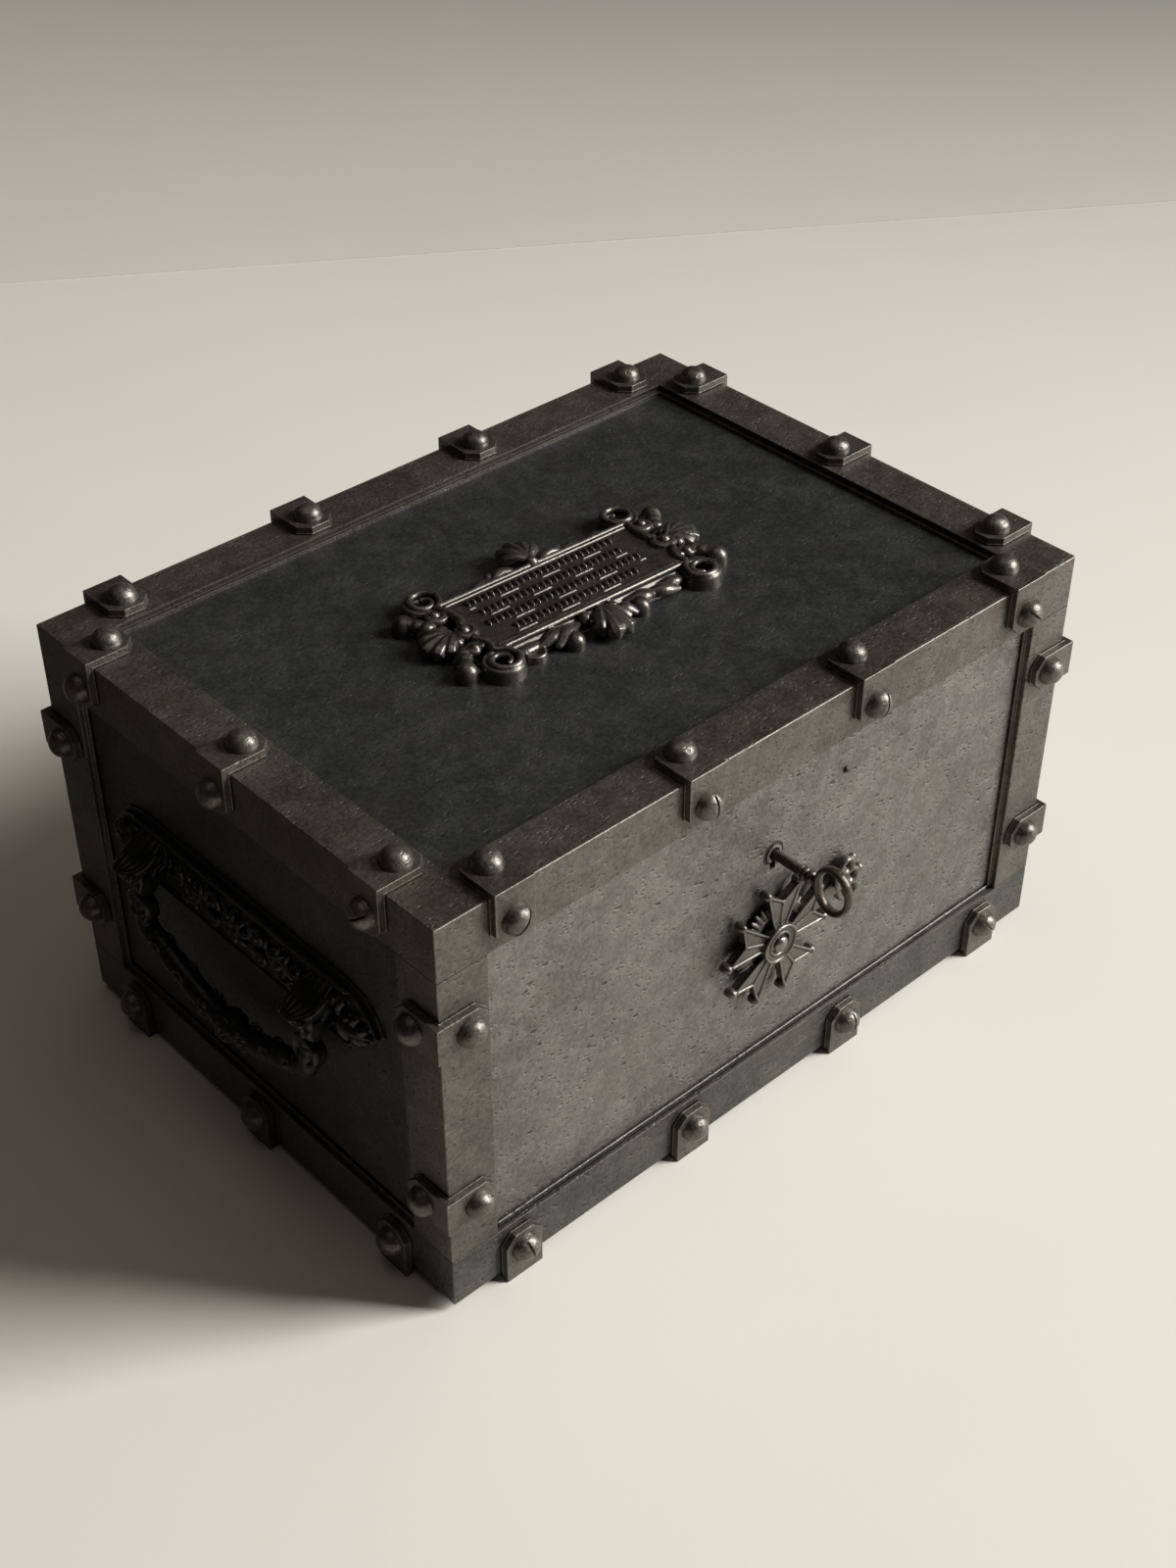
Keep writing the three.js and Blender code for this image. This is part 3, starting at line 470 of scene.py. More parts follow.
def bevelled(mesh, width, rim, segments=2, joints=()):
    bevel = {"width": width, "segments": segments, "limit_method": "WEIGHT"}
    made = rimmed(worked(weigh_edges(mesh, joints), ("BEVEL", bevel)), rim, joints)
    normals = {"weight": 80, "keep_sharp": True}
    return worked(sharpened(made, joints), ("WEIGHTED_NORMAL", normals))


def mark_bend(mesh):
    """Stores how sharply the surface bends at each vertex, per millimetre, evened out on a fine mesh."""
    count = len(mesh.vertices)
    points = np.empty(count * 3)
    normals = np.empty(count * 3)
    edges = np.empty(len(mesh.edges) * 2, int)
    mesh.vertices.foreach_get("co", points)
    mesh.vertices.foreach_get("normal", normals)
    mesh.edges.foreach_get("vertices", edges)
    points, normals = points.reshape(-1, 3), normals.reshape(-1, 3)
    start, end = edges.reshape(-1, 2).T
    span = points[end] - points[start]
    square = np.maximum((span**2).sum(1), 1e-12)
    at_start = -(span * normals[start]).sum(1) / square
    at_end = (span * normals[end]).sum(1) / square
    links = np.maximum(np.bincount(start, minlength=count) + np.bincount(end, minlength=count), 1)

    def gathered(from_end, from_start):
        return (np.bincount(start, from_end, count) + np.bincount(end, from_start, count)) / links

    bend = 2 * MM * gathered(at_start, at_end)
    sharp = np.zeros(len(mesh.edges), bool)
    if "sharp_edge" in mesh.attributes:
        mesh.attributes["sharp_edge"].data.foreach_get("value", sharp)
    bend[start[sharp]] = 0
    bend[end[sharp]] = 0
    if count > FINE_MESH:
        for _ in range(2):
            bend = (bend + gathered(bend[end], bend[start])) / 2
    attribute = mesh.attributes.new("bend", "FLOAT", "POINT")
    attribute.data.foreach_set("value", bend.astype(np.float32))


def dented(mesh, size, depth, seed):
    """Small uneven dents over a mesh that is in millimetres."""
    shift = Vector((seed * 7.3, seed * 3.1, seed * 5.7))
    for vertex in mesh.vertices:
        vertex.co += vertex.normal * noise.noise(vertex.co / size + shift) * depth
    mesh.update()
    return mesh


def piece(name, mesh, node, slot, *materials):
    """Shows a piece that stands for a CAD node and rides on its body. The mesh is in the row frame."""
    for material in materials:
        mesh.materials.append(material)
    mark_bend(mesh)
    obj = scene_object(name, mesh)
    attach(obj, frame["nodes"][node]["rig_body"])
    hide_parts(node)


def softened(node, width, slot, material, segments=3, joints=(), sink=0.0, fade=FADE):
    """Shows the CAD node's own shape with worn, rounded edges, and with its underside this much lower."""
    bm = bmesh.new()
    bm.from_mesh(frame["nodes"][node].data)
    bmesh.ops.remove_doubles(bm, verts=bm.verts, dist=MM / 1000)
    bmesh.ops.dissolve_limit(bm, angle_limit=math.radians(2), verts=bm.verts, edges=bm.edges)
    lowest = min(vertex.co.z for vertex in bm.verts)
    for vertex in bm.verts:
        if vertex.co.z < lowest + LEVEL:
            vertex.co.z -= sink
    mesh = bpy.data.meshes.new(node)
    bm.to_mesh(mesh)
    bm.free()
    made = bevelled(mesh, width * MM, fade * MM, segments, joints=joints)
    piece(f"{node}_iron", made, node, slot, material)


# Shells of a casting


def around(count):
    """The angles of this many equal steps round a circle."""
    return [TURN * i / count for i in range(count)]


def flowing(knots, steps):
    """A smooth run through knots of x, y, z and radius."""
    knots = np.array(knots, float)
    if len(knots) == 2:
        shares = np.linspace(0, 1, steps + 1)[:, None]
        return knots[0] * (1 - shares) + knots[1] * shares
    ends = np.vstack([2 * knots[0] - knots[1], knots, 2 * knots[-1] - knots[-2]])
    run = []
    for a, b, c, d in zip(ends, ends[1:], ends[2:], ends[3:]):
        for t in np.arange(steps) / steps:
            bent = (2 * a - 5 * b + 4 * c - d) * t * t + (3 * b - a - 3 * c + d) * t**3
            run.append((2 * b + (c - a) * t + bent) / 2)
    return np.vstack([run, knots[-1]])


class Casting:
    """Closed shells that overlap, in millimetres, until they are fused into one casting."""

    def __init__(self):
        self.points = []
        self.faces = []
        self.places = [Matrix.Identity(4)]

    def at(self, x=0.0, y=0.0, z=0.0, turn=0.0, flip=False, flip_y=False):
        """A frame for the shells of a with block: shifted, turned about Z by degrees, and mirrored."""
        mirror = Matrix.Diagonal((-1 if flip else 1, -1 if flip_y else 1, 1, 1))
        spin = Matrix.Rotation(math.radians(turn), 4, "Z")
        self.places.append(self.places[-1] @ Matrix.Translation((x, y, z)) @ spin @ mirror)
        return self

    def __enter__(self):
        return self

    def __exit__(self, *_):
        self.places.pop()

    def add(self, points, faces):
        start = len(self.points)
        place = self.places[-1]
        self.points += [place @ Vector(p) for p in points]
        turned = place.determinant() < 0
        self.faces += [[start + i for i in (reversed(face) if turned else face)] for face in faces]

    def loft(self, rings, first, last):
        """A closed skin over rings of equal count, with a point beyond each end."""
        sides = len(rings[0])
        points = [p for ring in rings for p in ring] + [first, last]
        near, far, end = len(points) - 2, len(points) - 1, (len(rings) - 1) * sides
        faces = []
        for start in range(0, end, sides):
            faces += band(start, start + sides, sides)
        faces += [(near, (j + 1) % sides, j) for j in range(sides)]
        faces += [(far, end + j, end + (j + 1) % sides) for j in range(sides)]
        self.add(points, faces)

    def tube(self, knots, steps=4, sides=8, tall=1.0, round_ends=0.6):
        """A tube through knots of x, y, z and radius. Tall stretches its section along Z."""
        run = flowing(knots, steps)
        rings = []
        ahead = np.gradient(run[:, :3], axis=0)
        for (x, y, z, radius), along in zip(run.tolist(), ahead):
            along = Vector(along).normalized()
            guide = Vector((0, 1, 0)) if abs(along.z) > 0.9 else Vector((0, 0, 1))
            side = along.cross(guide).normalized() * max(radius, 0.05)
            rise = side.cross(along) * tall
            centre = Vector((x, y, z))
            rings.append([centre + side * math.cos(a) + rise * math.sin(a) for a in around(sides)])
        near, far = float(run[0, 3]) * round_ends, float(run[-1, 3]) * round_ends
        first = Vector(run[0, :3]) - Vector(ahead[0]).normalized() * near
        last = Vector(run[-1, :3]) + Vector(ahead[-1]).normalized() * far
        self.loft(rings, first, last)

    def turned(self, profile, sides, x=0.0, y=0.0):
        """A body turned about Z from radius and height pairs, which start and end on the axis."""
        rings = [
            [Vector((x + r * math.cos(a), y + r * math.sin(a), z)) for a in around(sides)]
            for r, z in profile[1:-1]
        ]
        self.loft(rings, Vector((x, y, profile[0][1])), Vector((x, y, profile[-1][1])))

    def turned_across(self, profile, x, y, z, side=1):
        """A body turned about X from shift and radius pairs, which start and end on the axis."""
        rings = [
            [Vector((x + side * out, y + r * math.cos(a), z + r * math.sin(a) * side)) for a in around(20)]
            for out, r in profile[1:-1]
        ]
        first, last = (Vector((x + side * profile[end][0], y, z)) for end in (0, -1))
        self.loft(rings, first, last)

    def bud(self, x, y, radius, height, bottom):
        """A post with a domed top."""
        shoulder = bottom + (height - bottom) * 0.4
        profile = [(0, bottom), (radius * 1.04, bottom), (radius, shoulder)]
        for step in range(1, 6):
            angle = math.pi / 12 * step
            profile.append((radius * math.cos(angle), shoulder + (height - shoulder) * math.sin(angle)))
        self.turned([*profile, (0, height)], 24, x, y)

    def lobe(self, start, middle, end, radius):
        """A full, smooth leaf lobe through three places, thickest in its middle."""
        knots = [(*start, radius * 0.45), (*middle, radius), (*end, radius * 0.4)]
        self.tube(knots, steps=5, sides=14, tall=0.75)

    def ball(self, x, y, z, radius, squash=1.0):
        angles = [math.pi * i / 6 for i in range(7)]
        self.turned([(radius * math.sin(a), z - radius * squash * math.cos(a)) for a in angles], 12, x, y)

    def prism(self, near, far):
        """A body between two flat outlines of equal count, counterclockwise as the far one is seen."""
        count = len(near)
        ends = [range(count - 1, -1, -1), range(count, 2 * count)]
        self.add([*near, *far], [*band(0, count, count), *ends])

    def slab(self, outline, bottom, top):
        """An upright prism over a plan outline that runs counterclockwise."""
        self.prism(*([(x, y, z) for x, y in outline] for z in (bottom, top)))

    def rope(self, start, end, radius, pitch):
        """A cable of two strands from one place to another. Eight steps make a turn of each strand."""
        steps = int(math.dist(start, end) / pitch * 8)
        along = (Vector(end) - Vector(start)).normalized()
        side = along.cross(Vector((0, 0, 1)))
        for lead in (0, 0.5):
            knots = []
            for i in range(steps + 1):
                angle = TURN * (i / 8 + lead)
                offset = (side * math.cos(angle) + Vector((0, 0, 1)) * math.sin(angle)) * radius * 0.55
                centre = Vector(start).lerp(Vector(end), i / steps) + offset
                knots.append((*centre, radius * 0.62))
            self.tube(knots, steps=1, sides=6)

    def volute(self, x, y, z, outer, turns, start, thick, thin, rise, clockwise=False):
        """A scroll that winds in to a round eye. Start is the outer end's angle in degrees."""
        knots = []
        count = max(6, int(turns * 9))
        for i in range(count + 1):
            share = i / count
            angle = math.radians(start) + TURN * turns * share * (-1 if clockwise else 1)
            radius = outer * (1 - share * 0.86)
            height, thickness = z + rise * share, thick + (thin - thick) * share
            knots.append((x + radius * math.cos(angle), y + radius * math.sin(angle), height, thickness))
        self.tube(knots, steps=2)
        self.ball(x, y, z + rise, thin * 1.9)

    def leaf(self, length, width, lift, lobes=3, z=0.0):
        """A lobed leaf from the origin along +Y: a rib with round lobes that lean towards the tip."""
        tip = (0, length, z + lift * 0.5, 0.35)
        self.tube([(0, 0, z, width * 0.16), (0, length * 0.5, z + lift, width * 0.17), tip])
        for i in range(lobes):
            share = (i + 0.4) / lobes
            reach = width / 2 * (1 - 0.55 * share) * (0.75 + 0.5 * (i % 2 == 0))
            y = length * share * 0.85
            for side in (-1, 1):
                root = (0, y, z + lift * 0.5, width * 0.08)
                middle = (side * reach * 0.6, y + length * 0.07, z + lift * 0.75, width * 0.13)
                end = (side * reach, y + length * 0.17, z + lift * 0.25, width * 0.1)
                self.tube([root, middle, end], steps=2)

    def shell(self, flutes, radius, spread, height, root_height, girth):
        """A scallop that opens along +Y, with full, round-ended lobes."""
        for i in range(flutes):
            share = 2 * i / (flutes - 1) - 1
            angle = math.radians(share * spread / 2)
            reach = radius * (1 - 0.28 * share * share)
            out = Vector((math.sin(angle), math.cos(angle)))
            knots = []
            stations = ((0.1, 0.8, 0.45), (0.4, 1.0, 0.75), (0.72, 0.85, 1.05), (0.86, 0.62, 1.1))
            for along, rise, wide in stations:
                at = out * reach * along
                z = root_height * (1 - along) + height * rise * 0.62
                knots.append((at.x, at.y, z, girth * wide))
            self.tube(knots, steps=3, round_ends=0.8)

    def mesh(self):
        """The shells as they are."""
        return shell_mesh(self.points, self.faces)

    def fused(self, voxel):
        """The shells as one skin of small faces, with soft joins as a casting has."""
        remesh = {"mode": "VOXEL", "voxel_size": voxel, "use_smooth_shade": True}
        return worked(worked(self.mesh(), ("REMESH", remesh)), ("SMOOTH", {"factor": 0.5, "iterations": 2}))


def rectangle(x0, x1, y0, y1):
    return [(x0, y0), (x1, y0), (x1, y1), (x0, y1)]


def cast_piece(name, casting, voxel, place, node, slot, material):
    mesh = casting.fused(voxel)
    mesh.transform(place)
    mesh.update()
    piece(name, mesh, node, slot, material)


def axes_place(origin, x_axis, y_axis, z_axis):
    """The matrix of a frame with this origin and these axes."""
    return Matrix.Translation(origin) @ Matrix((x_axis, y_axis, z_axis)).transposed().to_4x4()


def face_place(origin, along, up):
    """The matrix from a relief's own millimetres to the row frame's metres."""
    along, up = Vector(along), Vector(up)
    return axes_place(origin, along, up, along.cross(up)) @ Matrix.Scale(MM, 4)


# Clips


def slotted(mesh, turn):
    """The head with a screwdriver slot across its top."""
    cutter = Casting()
    half = HEAD_RADIUS + 1
    with cutter.at(turn=turn):
        outline = rectangle(-half, half, -SLOT_WIDTH / 2, SLOT_WIDTH / 2)
        cutter.slab(outline, HEAD_HEIGHT - SLOT_DEPTH, HEAD_HEIGHT + 1)
    tool = scene_object("slot", cutter.mesh())
    made = worked(mesh, ("BOOLEAN", {"operation": "DIFFERENCE", "object": tool, "solver": "EXACT"}))
    bpy.data.objects.remove(tool)
    return made


def head_mesh(slot_turn, seed):
    """A round head on local Z. It has a narrow flat collar, and a slot where a turn is given."""
    radius, steps = HEAD_RADIUS * 0.96, 7
    profile = [(0, -0.6), (HEAD_RADIUS, -0.6), (HEAD_RADIUS, 0.5), (radius, HEAD_COLLAR)]
    for step in range(1, steps):
        angle = math.pi / 2 * step / steps
        height = HEAD_COLLAR + (HEAD_HEIGHT - HEAD_COLLAR) * math.sin(angle)
        profile.append((radius * math.cos(angle), height))
    casting = Casting()
    casting.turned([*profile, (0, HEAD_HEIGHT)], HEAD_SIDES)
    mesh = dented(casting.mesh(), size=3.2, depth=0.16, seed=seed)
    if slot_turn is not None:
        mesh = slotted(mesh, slot_turn)
    bevel = {"width": HEAD_BEVEL, "segments": 2, "limit_method": "ANGLE", "angle_limit": 0.7}
    made = worked(mesh, ("BEVEL", bevel))
    made.shade_smooth()
    return made


def clip_plate(side, reach, stand):
    """A plate bent over an edge of the case, with cut corners at both ends."""
    cut = CLIP_CORNER_CUT
    stations = [
        (side - cut, (-stand, -reach), (-SEAT_GAP, -reach)),
        (side, (-stand, cut - reach), (-SEAT_GAP, cut - reach)),
        (side, (-stand, stand), (-SEAT_GAP, SEAT_GAP)),
        (side, (reach - cut, stand), (reach - cut, SEAT_GAP)),
        (side - cut, (reach, stand), (reach, SEAT_GAP)),
    ]
    points = []
    for half, outer, inner in stations:
        points += [(-half, *outer), (half, *outer), (half, *inner), (-half, *inner)]
    faces = [(0, 3, 2, 1), tuple(range(len(points) - 4, len(points)))]
    for near in range(0, len(points) - 4, 4):
        faces += band(near, near + 4, 4)
    return shell_mesh(points, faces)


def clip_legs(width, seed):
    """A clip's plate, on a thin foot that runs out a little beyond it."""
    parts = []
    for rim, stand, bevel in ((0, CLIP_FOOT_STAND, CLIP_BEVEL / 2), (CLIP_FOOT_RIM, CLIP_STAND, CLIP_BEVEL)):
        plate = clip_plate(width / 2 - rim, CLIP_REACH - rim, stand)
        plate = dented(plate, size=6, depth=0.08, seed=seed)
        parts.append((bevelled(plate, bevel, FADE / 2), Matrix.Identity(4)))
    return joined(*parts)


def clip_place(node):
    """(matrix of a clip's own frame, its width): its X runs along the edge and its legs face -Y and +Z."""
    words = node.split("_")
    first = SIDES[words[2]]
    second = SIDES[words[3]] if words[0] == "post" else SIDES[words[0]]
    low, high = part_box(node)
    corner = (low + high) / 2
    for axis in range(3):
        facing = first[axis] + second[axis]
        if facing:
            corner[axis] = case_high[axis] if facing > 0 else case_low[axis]
    along = second.cross(first)
    width = abs((high - low).dot(along)) / MM
    return axes_place(corner, along, -first, second) @ Matrix.Scale(MM, 4), width


def clip(node, seed):
    """Shows an angle clip with its round heads, which have a material of their own."""
    place, width = clip_place(node)
    lying = Matrix.Rotation(math.radians(90), 4, "X")
    parts = [(clip_legs(width, seed), Matrix.Identity(4))]
    first_head = head_mesh(SLOT_TURNS.get(node), seed)
    parts.append((first_head, Matrix.Translation((0, -CLIP_STAND, -HEAD_SETBACK)) @ lying))
    if not node.startswith("base"):
        parts.append((head_mesh(None, seed + 0.5), Matrix.Translation((0, HEAD_SETBACK, CLIP_STAND))))
    for head, _ in parts[1:]:
        head.polygons.foreach_set("material_index", [1] * len(head.polygons))
    mesh = joined(*parts)
    mesh.transform(place)
    piece(f"{node}_iron", mesh, node, "clip_iron", clip_iron, head_iron)


# Star over the keyhole


def star_arm(casting):
    """A thick forked blade along +Y with fine raised lines, and a peg under each tip."""
    spread = math.radians(19.5)
    tip = Vector((STAR_TIP * math.sin(spread), STAR_TIP * math.cos(spread)))
    fork, root_y, root_x = 17.8, 6.5, 2.6
    casting.slab([(-root_x, root_y), (root_x, root_y), (tip.x, tip.y), (0, fork), (-tip.x, tip.y)], 1.6, 4.9)
    line, top = 0.5, 5.0
    for side in (-1, 1):
        casting.tube([(side * root_x, root_y, top, line), (side * tip.x, tip.y, top, line)])
        casting.tube([(0, fork, top, line), (side * tip.x, tip.y, top, line)])
        casting.bud(side * tip.x, tip.y, 1.9, 6.0, 1.6)
    casting.tube([(0, root_y, top, line * 0.9), (0, fork, top, line * 0.9)])


def star_leaves(casting):
    """The jagged leaves that show between two arms, pointing along +Y."""
    casting.tube([(-6.2, 10.6, 2.6, 1.1), (0, 12.6, 2.6, 1.1), (6.2, 10.6, 2.6, 1.1)])
    for turn in (-18, -9, 0, 9, 18):
        with casting.at(turn=turn):
            reach = 18.0 - abs(turn) * 0.06
            casting.tube([(0, 9.5, 2.2, 0.8), (0, 14.2, 2.4, 1.2), (0, reach, 2.1, 0.5)], sides=8)
            for side in (-1, 1):
                casting.tube([(0, 13.2, 2.4, 0.6), (side * 1.4, 15.6, 2.2, 0.4)], sides=6)


def star_finial(casting):
    """Three dished lobes on a bowed band beyond the first arm."""
    casting.tube([(0, 16.5, 3.4, 2.3), (0, 24, 3.4, 2.2), (0, 33, 3.4, 3.0)], tall=0.75)
    casting.slab([(-7.6, 31.4), (0, 29.6), (7.6, 31.4), (7.4, 36), (-7.4, 36)], 1.7, 4.4)
    casting.tube([(-7.8, 32.6, 4.2, 1.0), (0, 30.8, 4.7, 1.2), (7.8, 32.6, 4.2, 1.0)])
    casting.tube([(-7.4, 34.8, 4.2, 0.7), (0, 33.4, 4.6, 0.8), (7.4, 34.8, 4.2, 0.7)])
    lobe = [(0, 1.6), (3.9, 1.6), (4.0, 4.2), (3.5, 5.2), (2.6, 5.3), (1.7, 4.5), (1.1, 3.2), (0, 3.0)]
    for x, y in ((-6, 37.5), (0, 38.8), (6, 37.5)):
        casting.turned(lobe, 20, x, y)
    for x, y, radius in ((-7.6, 41.2, 1.5), (0, 43.3, 1.8), (7.6, 41.2, 1.5)):
        casting.ball(x, y, 3.6, radius)


def star_casting():
    casting = Casting()
    for arm in range(STAR_ARMS):
        turn = 360 / STAR_ARMS * arm
        with casting.at(turn=turn):
            star_arm(casting)
        with casting.at(turn=turn + 180 / STAR_ARMS):
            star_leaves(casting)
    star_finial(casting)
    disc = [(0, 1.5), (7.9, 1.5), (8.15, 3.0), (8.15, 6.4), (7.9, 6.9), (7.4, 7.0), (7.0, 6.6), (6.7, 6.25)]
    disc += [(5.4, 6.1), (5.1, 6.4), (4.8, 6.6), (4.4, 6.5), (4.1, 5.7), (3.8, 5.2), (0, 5.2)]
    casting.turned(disc, 40)
    return casting


def star_pin():
    casting = Casting()
    profile = [(0, -6.6), (2.4, -6.4), (3.2, -5.6), (3.2, -4.9), (1.8, -4.85), (1.8, 6.1), (3.0, 6.2)]
    profile += [(3.1, 6.6), (2.7, 7.2), (1.9, 7.7), (0.9, 7.95), (0, 8.0)]
    casting.turned(profile, 24)
    return casting


def panel_stud():
    """A small round-headed stud in the front panel, above and to the right of the star's pin."""
    casting = Casting()
    casting.bud(34.8, 55.5, 1.3, 1.3, -0.8)
    return casting


# Key


def key_bow(casting):
    """The key's oval ring, upright on the shank's axis."""
    points, faces = [], []
    steps, sides = 28, 12
    for angle in around(steps):
        out = Vector((0, math.sin(angle), math.cos(angle)))
        depth = KEY_BOW_OUT + KEY_BOW_HALF_HEIGHT * math.cos(angle)
        centre = Vector((0, KEY_BOW_HALF_WIDTH * math.sin(angle), depth))
        for turn in around(sides):
            points.append(centre + out * 1.25 * math.cos(turn) + Vector((1.9 * math.sin(turn), 0, 0)))
    for i in range(steps):
        faces += band(i * sides, (i + 1) % steps * sides, sides)
    casting.add(points, faces)


def key_casting():
    """Shank with collars, a ring bow and a bit. Local Z points out of the case, and Y is up."""
    casting = Casting()
    profile = [(0, -14.6), (1.6, -14.6), (1.85, -14.2), (1.85, 8.8), (2.6, 9.2), (2.9, 9.8), (2.6, 10.4)]
    profile += [(2.1, 10.8), (2.6, 11.3), (2.9, 11.9), (2.6, 12.5), (2.1, 12.9), (2.7, 13.5), (2.9, 14.2)]
    bow_foot = KEY_BOW_OUT - KEY_BOW_HALF_HEIGHT
    profile += [(2.6, 15.0), (1.9, 15.6), (1.7, bow_foot), (0, bow_foot + 0.4)]
    casting.turned(profile, 18)
    key_bow(casting)
    front, back, reach, half = -11.9, -15.3, -6.4, 0.8
    casting.slab(rectangle(-half, half, reach, 0), back, back + 1.3)
    casting.slab(rectangle(-half, half, reach, 0), front - 1.0, front)
    casting.slab(rectangle(-half, half, reach / 2, 0), back, front)
    return casting


# Handles


def ear_cheek(casting, side):
    """One side of an ear: bars that run from the plate to a disc at the pin."""
    x = side * 5.1
    pivot = (x, -PIVOT_DROP, PIVOT_OUT, 1.7)
    casting.tube([(x, 6.5, -1.5, 1.5), (x, 3.4, 4.0, 1.7), (x, 1.6, 9.5, 1.6), (x, 1.2, 14.5, 1.3)])
    casting.tube([(x, -3.5, -1.5, 1.6), (x, -PIVOT_DROP, 4.0, 1.6), pivot])
    casting.tube([(x, 2.0, 2.0, 1.5), (x, -1.5, 6.0, 1.7), pivot])
    casting.tube([(x, 2.0, 10, 1.4), (x, -1.4, 10.2, 1.7), pivot])
    for z in (PIVOT_OUT - 2.6, PIVOT_OUT + 2.6):
        casting.tube([(x, -PIVOT_DROP, z, 1.5), (x, -PIVOT_DROP - 2.2, PIVOT_OUT, 1.5)])
    disc = [(3.7, 0), (3.7, 4.2), (6.2, 4.2), (6.7, 3.6), (7.1, 0)]
    casting.turned_across(disc, 0, -PIVOT_DROP, PIVOT_OUT, side)


def handle_ear(casting):
    """A hooded ear on the plate: two cheeks, a pin and a fluted leaf that bows outwards over them."""
    for side in (-1, 1):
        ear_cheek(casting, side)
    casting.tube([(side * 6.2, -PIVOT_DROP, PIVOT_OUT, 1.9) for side in (-1, 1)], sides=14)
    for i in range(5):
        share = (i - 2) / 2
        x, low = share * 5.6, abs(share)
        knots = [(x * 0.75, 10.6 - low * 1.6, -1.0, 1.5), (x * 1.05, 7.9 - low, 3.6, 1.75)]
        knots += [(x, 4.2 - low * 0.5, 8.5, 1.6), (x * 0.72, 2.6, 12.8, 1.35), (x * 0.3, 2.6, 16.0, 0.9)]
        casting.tube(knots, steps=3)
    casting.slab([(-5.4, -0.1), (5.4, -0.1), (6.2, 4.5), (5.2, 9.2), (-5.2, 9.2), (-6.2, 4.5)], -2.0, 1.2)
    for x, y, z, radius, (rise, out, girth) in (
        (5.8, 3.4, 3.0, 1.2, (3.9, 3.2, 1.3)),
        (5.4, 1.9, 8.0, 1.2, (2.0, 8.4, 1.2)),
        (3.6, 1.4, 12.2, 1.1, (1.4, 12.6, 1.2)),
    ):
        casting.tube([(-x, y, z, radius), (0, rise, out, girth), (x, y, z, radius)])


def handle_end_leaf(casting):
    """The pointed leaf on the end of the plate, along +X from its shoulder."""
    with casting.at(x=56, z=PLATE_FACE, turn=-90):
        casting.leaf(17, 14, 2.0, lobes=4, z=0.3)
    for side in (-1, 1):
        casting.volute(58.5, side * 6.0, 0.9, 3.6, 1.2, -90 * side, 1.1, 0.6, clockwise=side > 0, rise=0.6)


def handle_rosette(casting):
    """The flower in the middle of the plate, with scrolls and leaves to each side."""
    profile = [(0, -1), (3.0, -1), (3.4, 1.2), (2.7, 2.3), (1.9, 2.0), (1.2, 1.3), (0, 1.2)]
    casting.turned(profile, 20)
    for i in range(8):
        with casting.at(turn=45 * i):
            casting.tube([(0, 2.6, 0.8, 0.9), (0, 5.4, 1.5, 1.45), (0, 7.6, 0.5, 0.8)], tall=0.8)
    for flip in (True, False):
        with casting.at(flip=flip):
            casting.volute(13.0, 3.6, 0.8, 4.2, 1.4, 200, 1.3, 0.7, clockwise=True, rise=0.6)
            casting.volute(14.0, -4.2, 0.8, 3.8, 1.4, 160, 1.3, 0.7, rise=0.6)
            casting.volute(24.5, -1.2, 0.8, 4.6, 1.5, 100, 1.4, 0.8, clockwise=True, rise=0.8)
            for x, y, turn, length, width, lift in (
                (17.5, 1.0, -68, 12, 8, 1.6),
                (22.0, -2.5, -112, 11, 7, 1.4),
                (28.5, 2.4, -85, 11, 8, 1.8),
            ):
                with casting.at(x, y, 0.2, turn=turn):
                    casting.leaf(length, width, lift)


def handle_plate_outline(grown):
    """A long plate with pointed ends, this much larger all round."""
    x, y = PLATE_LENGTH / 2 + grown, PLATE_HEIGHT / 2 + grown
    corners = [(x - PLATE_TAPER, y), (x - 9, y - 2.2), (x - 4, y - 6.5), (x, 0)]
    corners += [(px, -py) for px, py in reversed(corners[:-1])]
    return [(-px, py) for px, py in corners] + [(px, py) for px, py in reversed(corners)]


def handle_plate_casting():
    casting = Casting()
    shoulder = PLATE_LENGTH / 2 - PLATE_TAPER
    casting.slab(handle_plate_outline(0), -3.3, PLATE_FACE)
    # A thin flange a little larger than the plate, in the near-black handle iron. It widens the dark band
    # round the plate: partly a real rim, partly a dark rim standing in for the plate's shadow on the wall.
    casting.slab(handle_plate_outline(1.0), -3.4, -2.6)
    for side in (-1, 1):
        y = side * (PLATE_HEIGHT / 2 - 1.0)
        casting.rope((-shoulder - 2, y, PLATE_FACE + 0.2), (shoulder + 2, y, PLATE_FACE + 0.2), 0.95, 2.8)
        inner = side * (PLATE_HEIGHT / 2 - 2.8)
        casting.tube([(-shoulder + 2, inner, PLATE_FACE, 0.4), (shoulder - 2, inner, PLATE_FACE, 0.4)])
        with casting.at(flip=side < 0):
            handle_end_leaf(casting)
            with casting.at(x=EAR_SPACING / 2):
                handle_ear(casting)
    handle_rosette(casting)
    return casting


def bail_end(casting):
    """One end of the bail: the eye on its pin, the neck and the scroll under it. X runs towards the end."""
    x = EAR_SPACING / 2
    eye = [(-3.0, 0), (-2.9, 3.5), (-2.2, 4.0), (2.2, 4.0), (2.9, 3.5), (3.0, 0)]
    casting.turned_across(eye, x, 0, 0)
    casting.tube([(x, -1, 0, 2.9), (x, -6, 0, 2.8), (x, -10, 0, 2.6)])
    half = [(6.9, 1.6), (6.4, 2.8), (5.2, 2.9), (4.4, 1.5), (2.9, 1.3), (2.2, 2.4), (1.2, 2.9)]
    disc = [(0, -2.9)] + [(r, -z) for r, z in reversed(half)] + half + [(0, 2.9)]
    casting.turned(disc, 28, x, -BAIL_SCROLL_DROP)


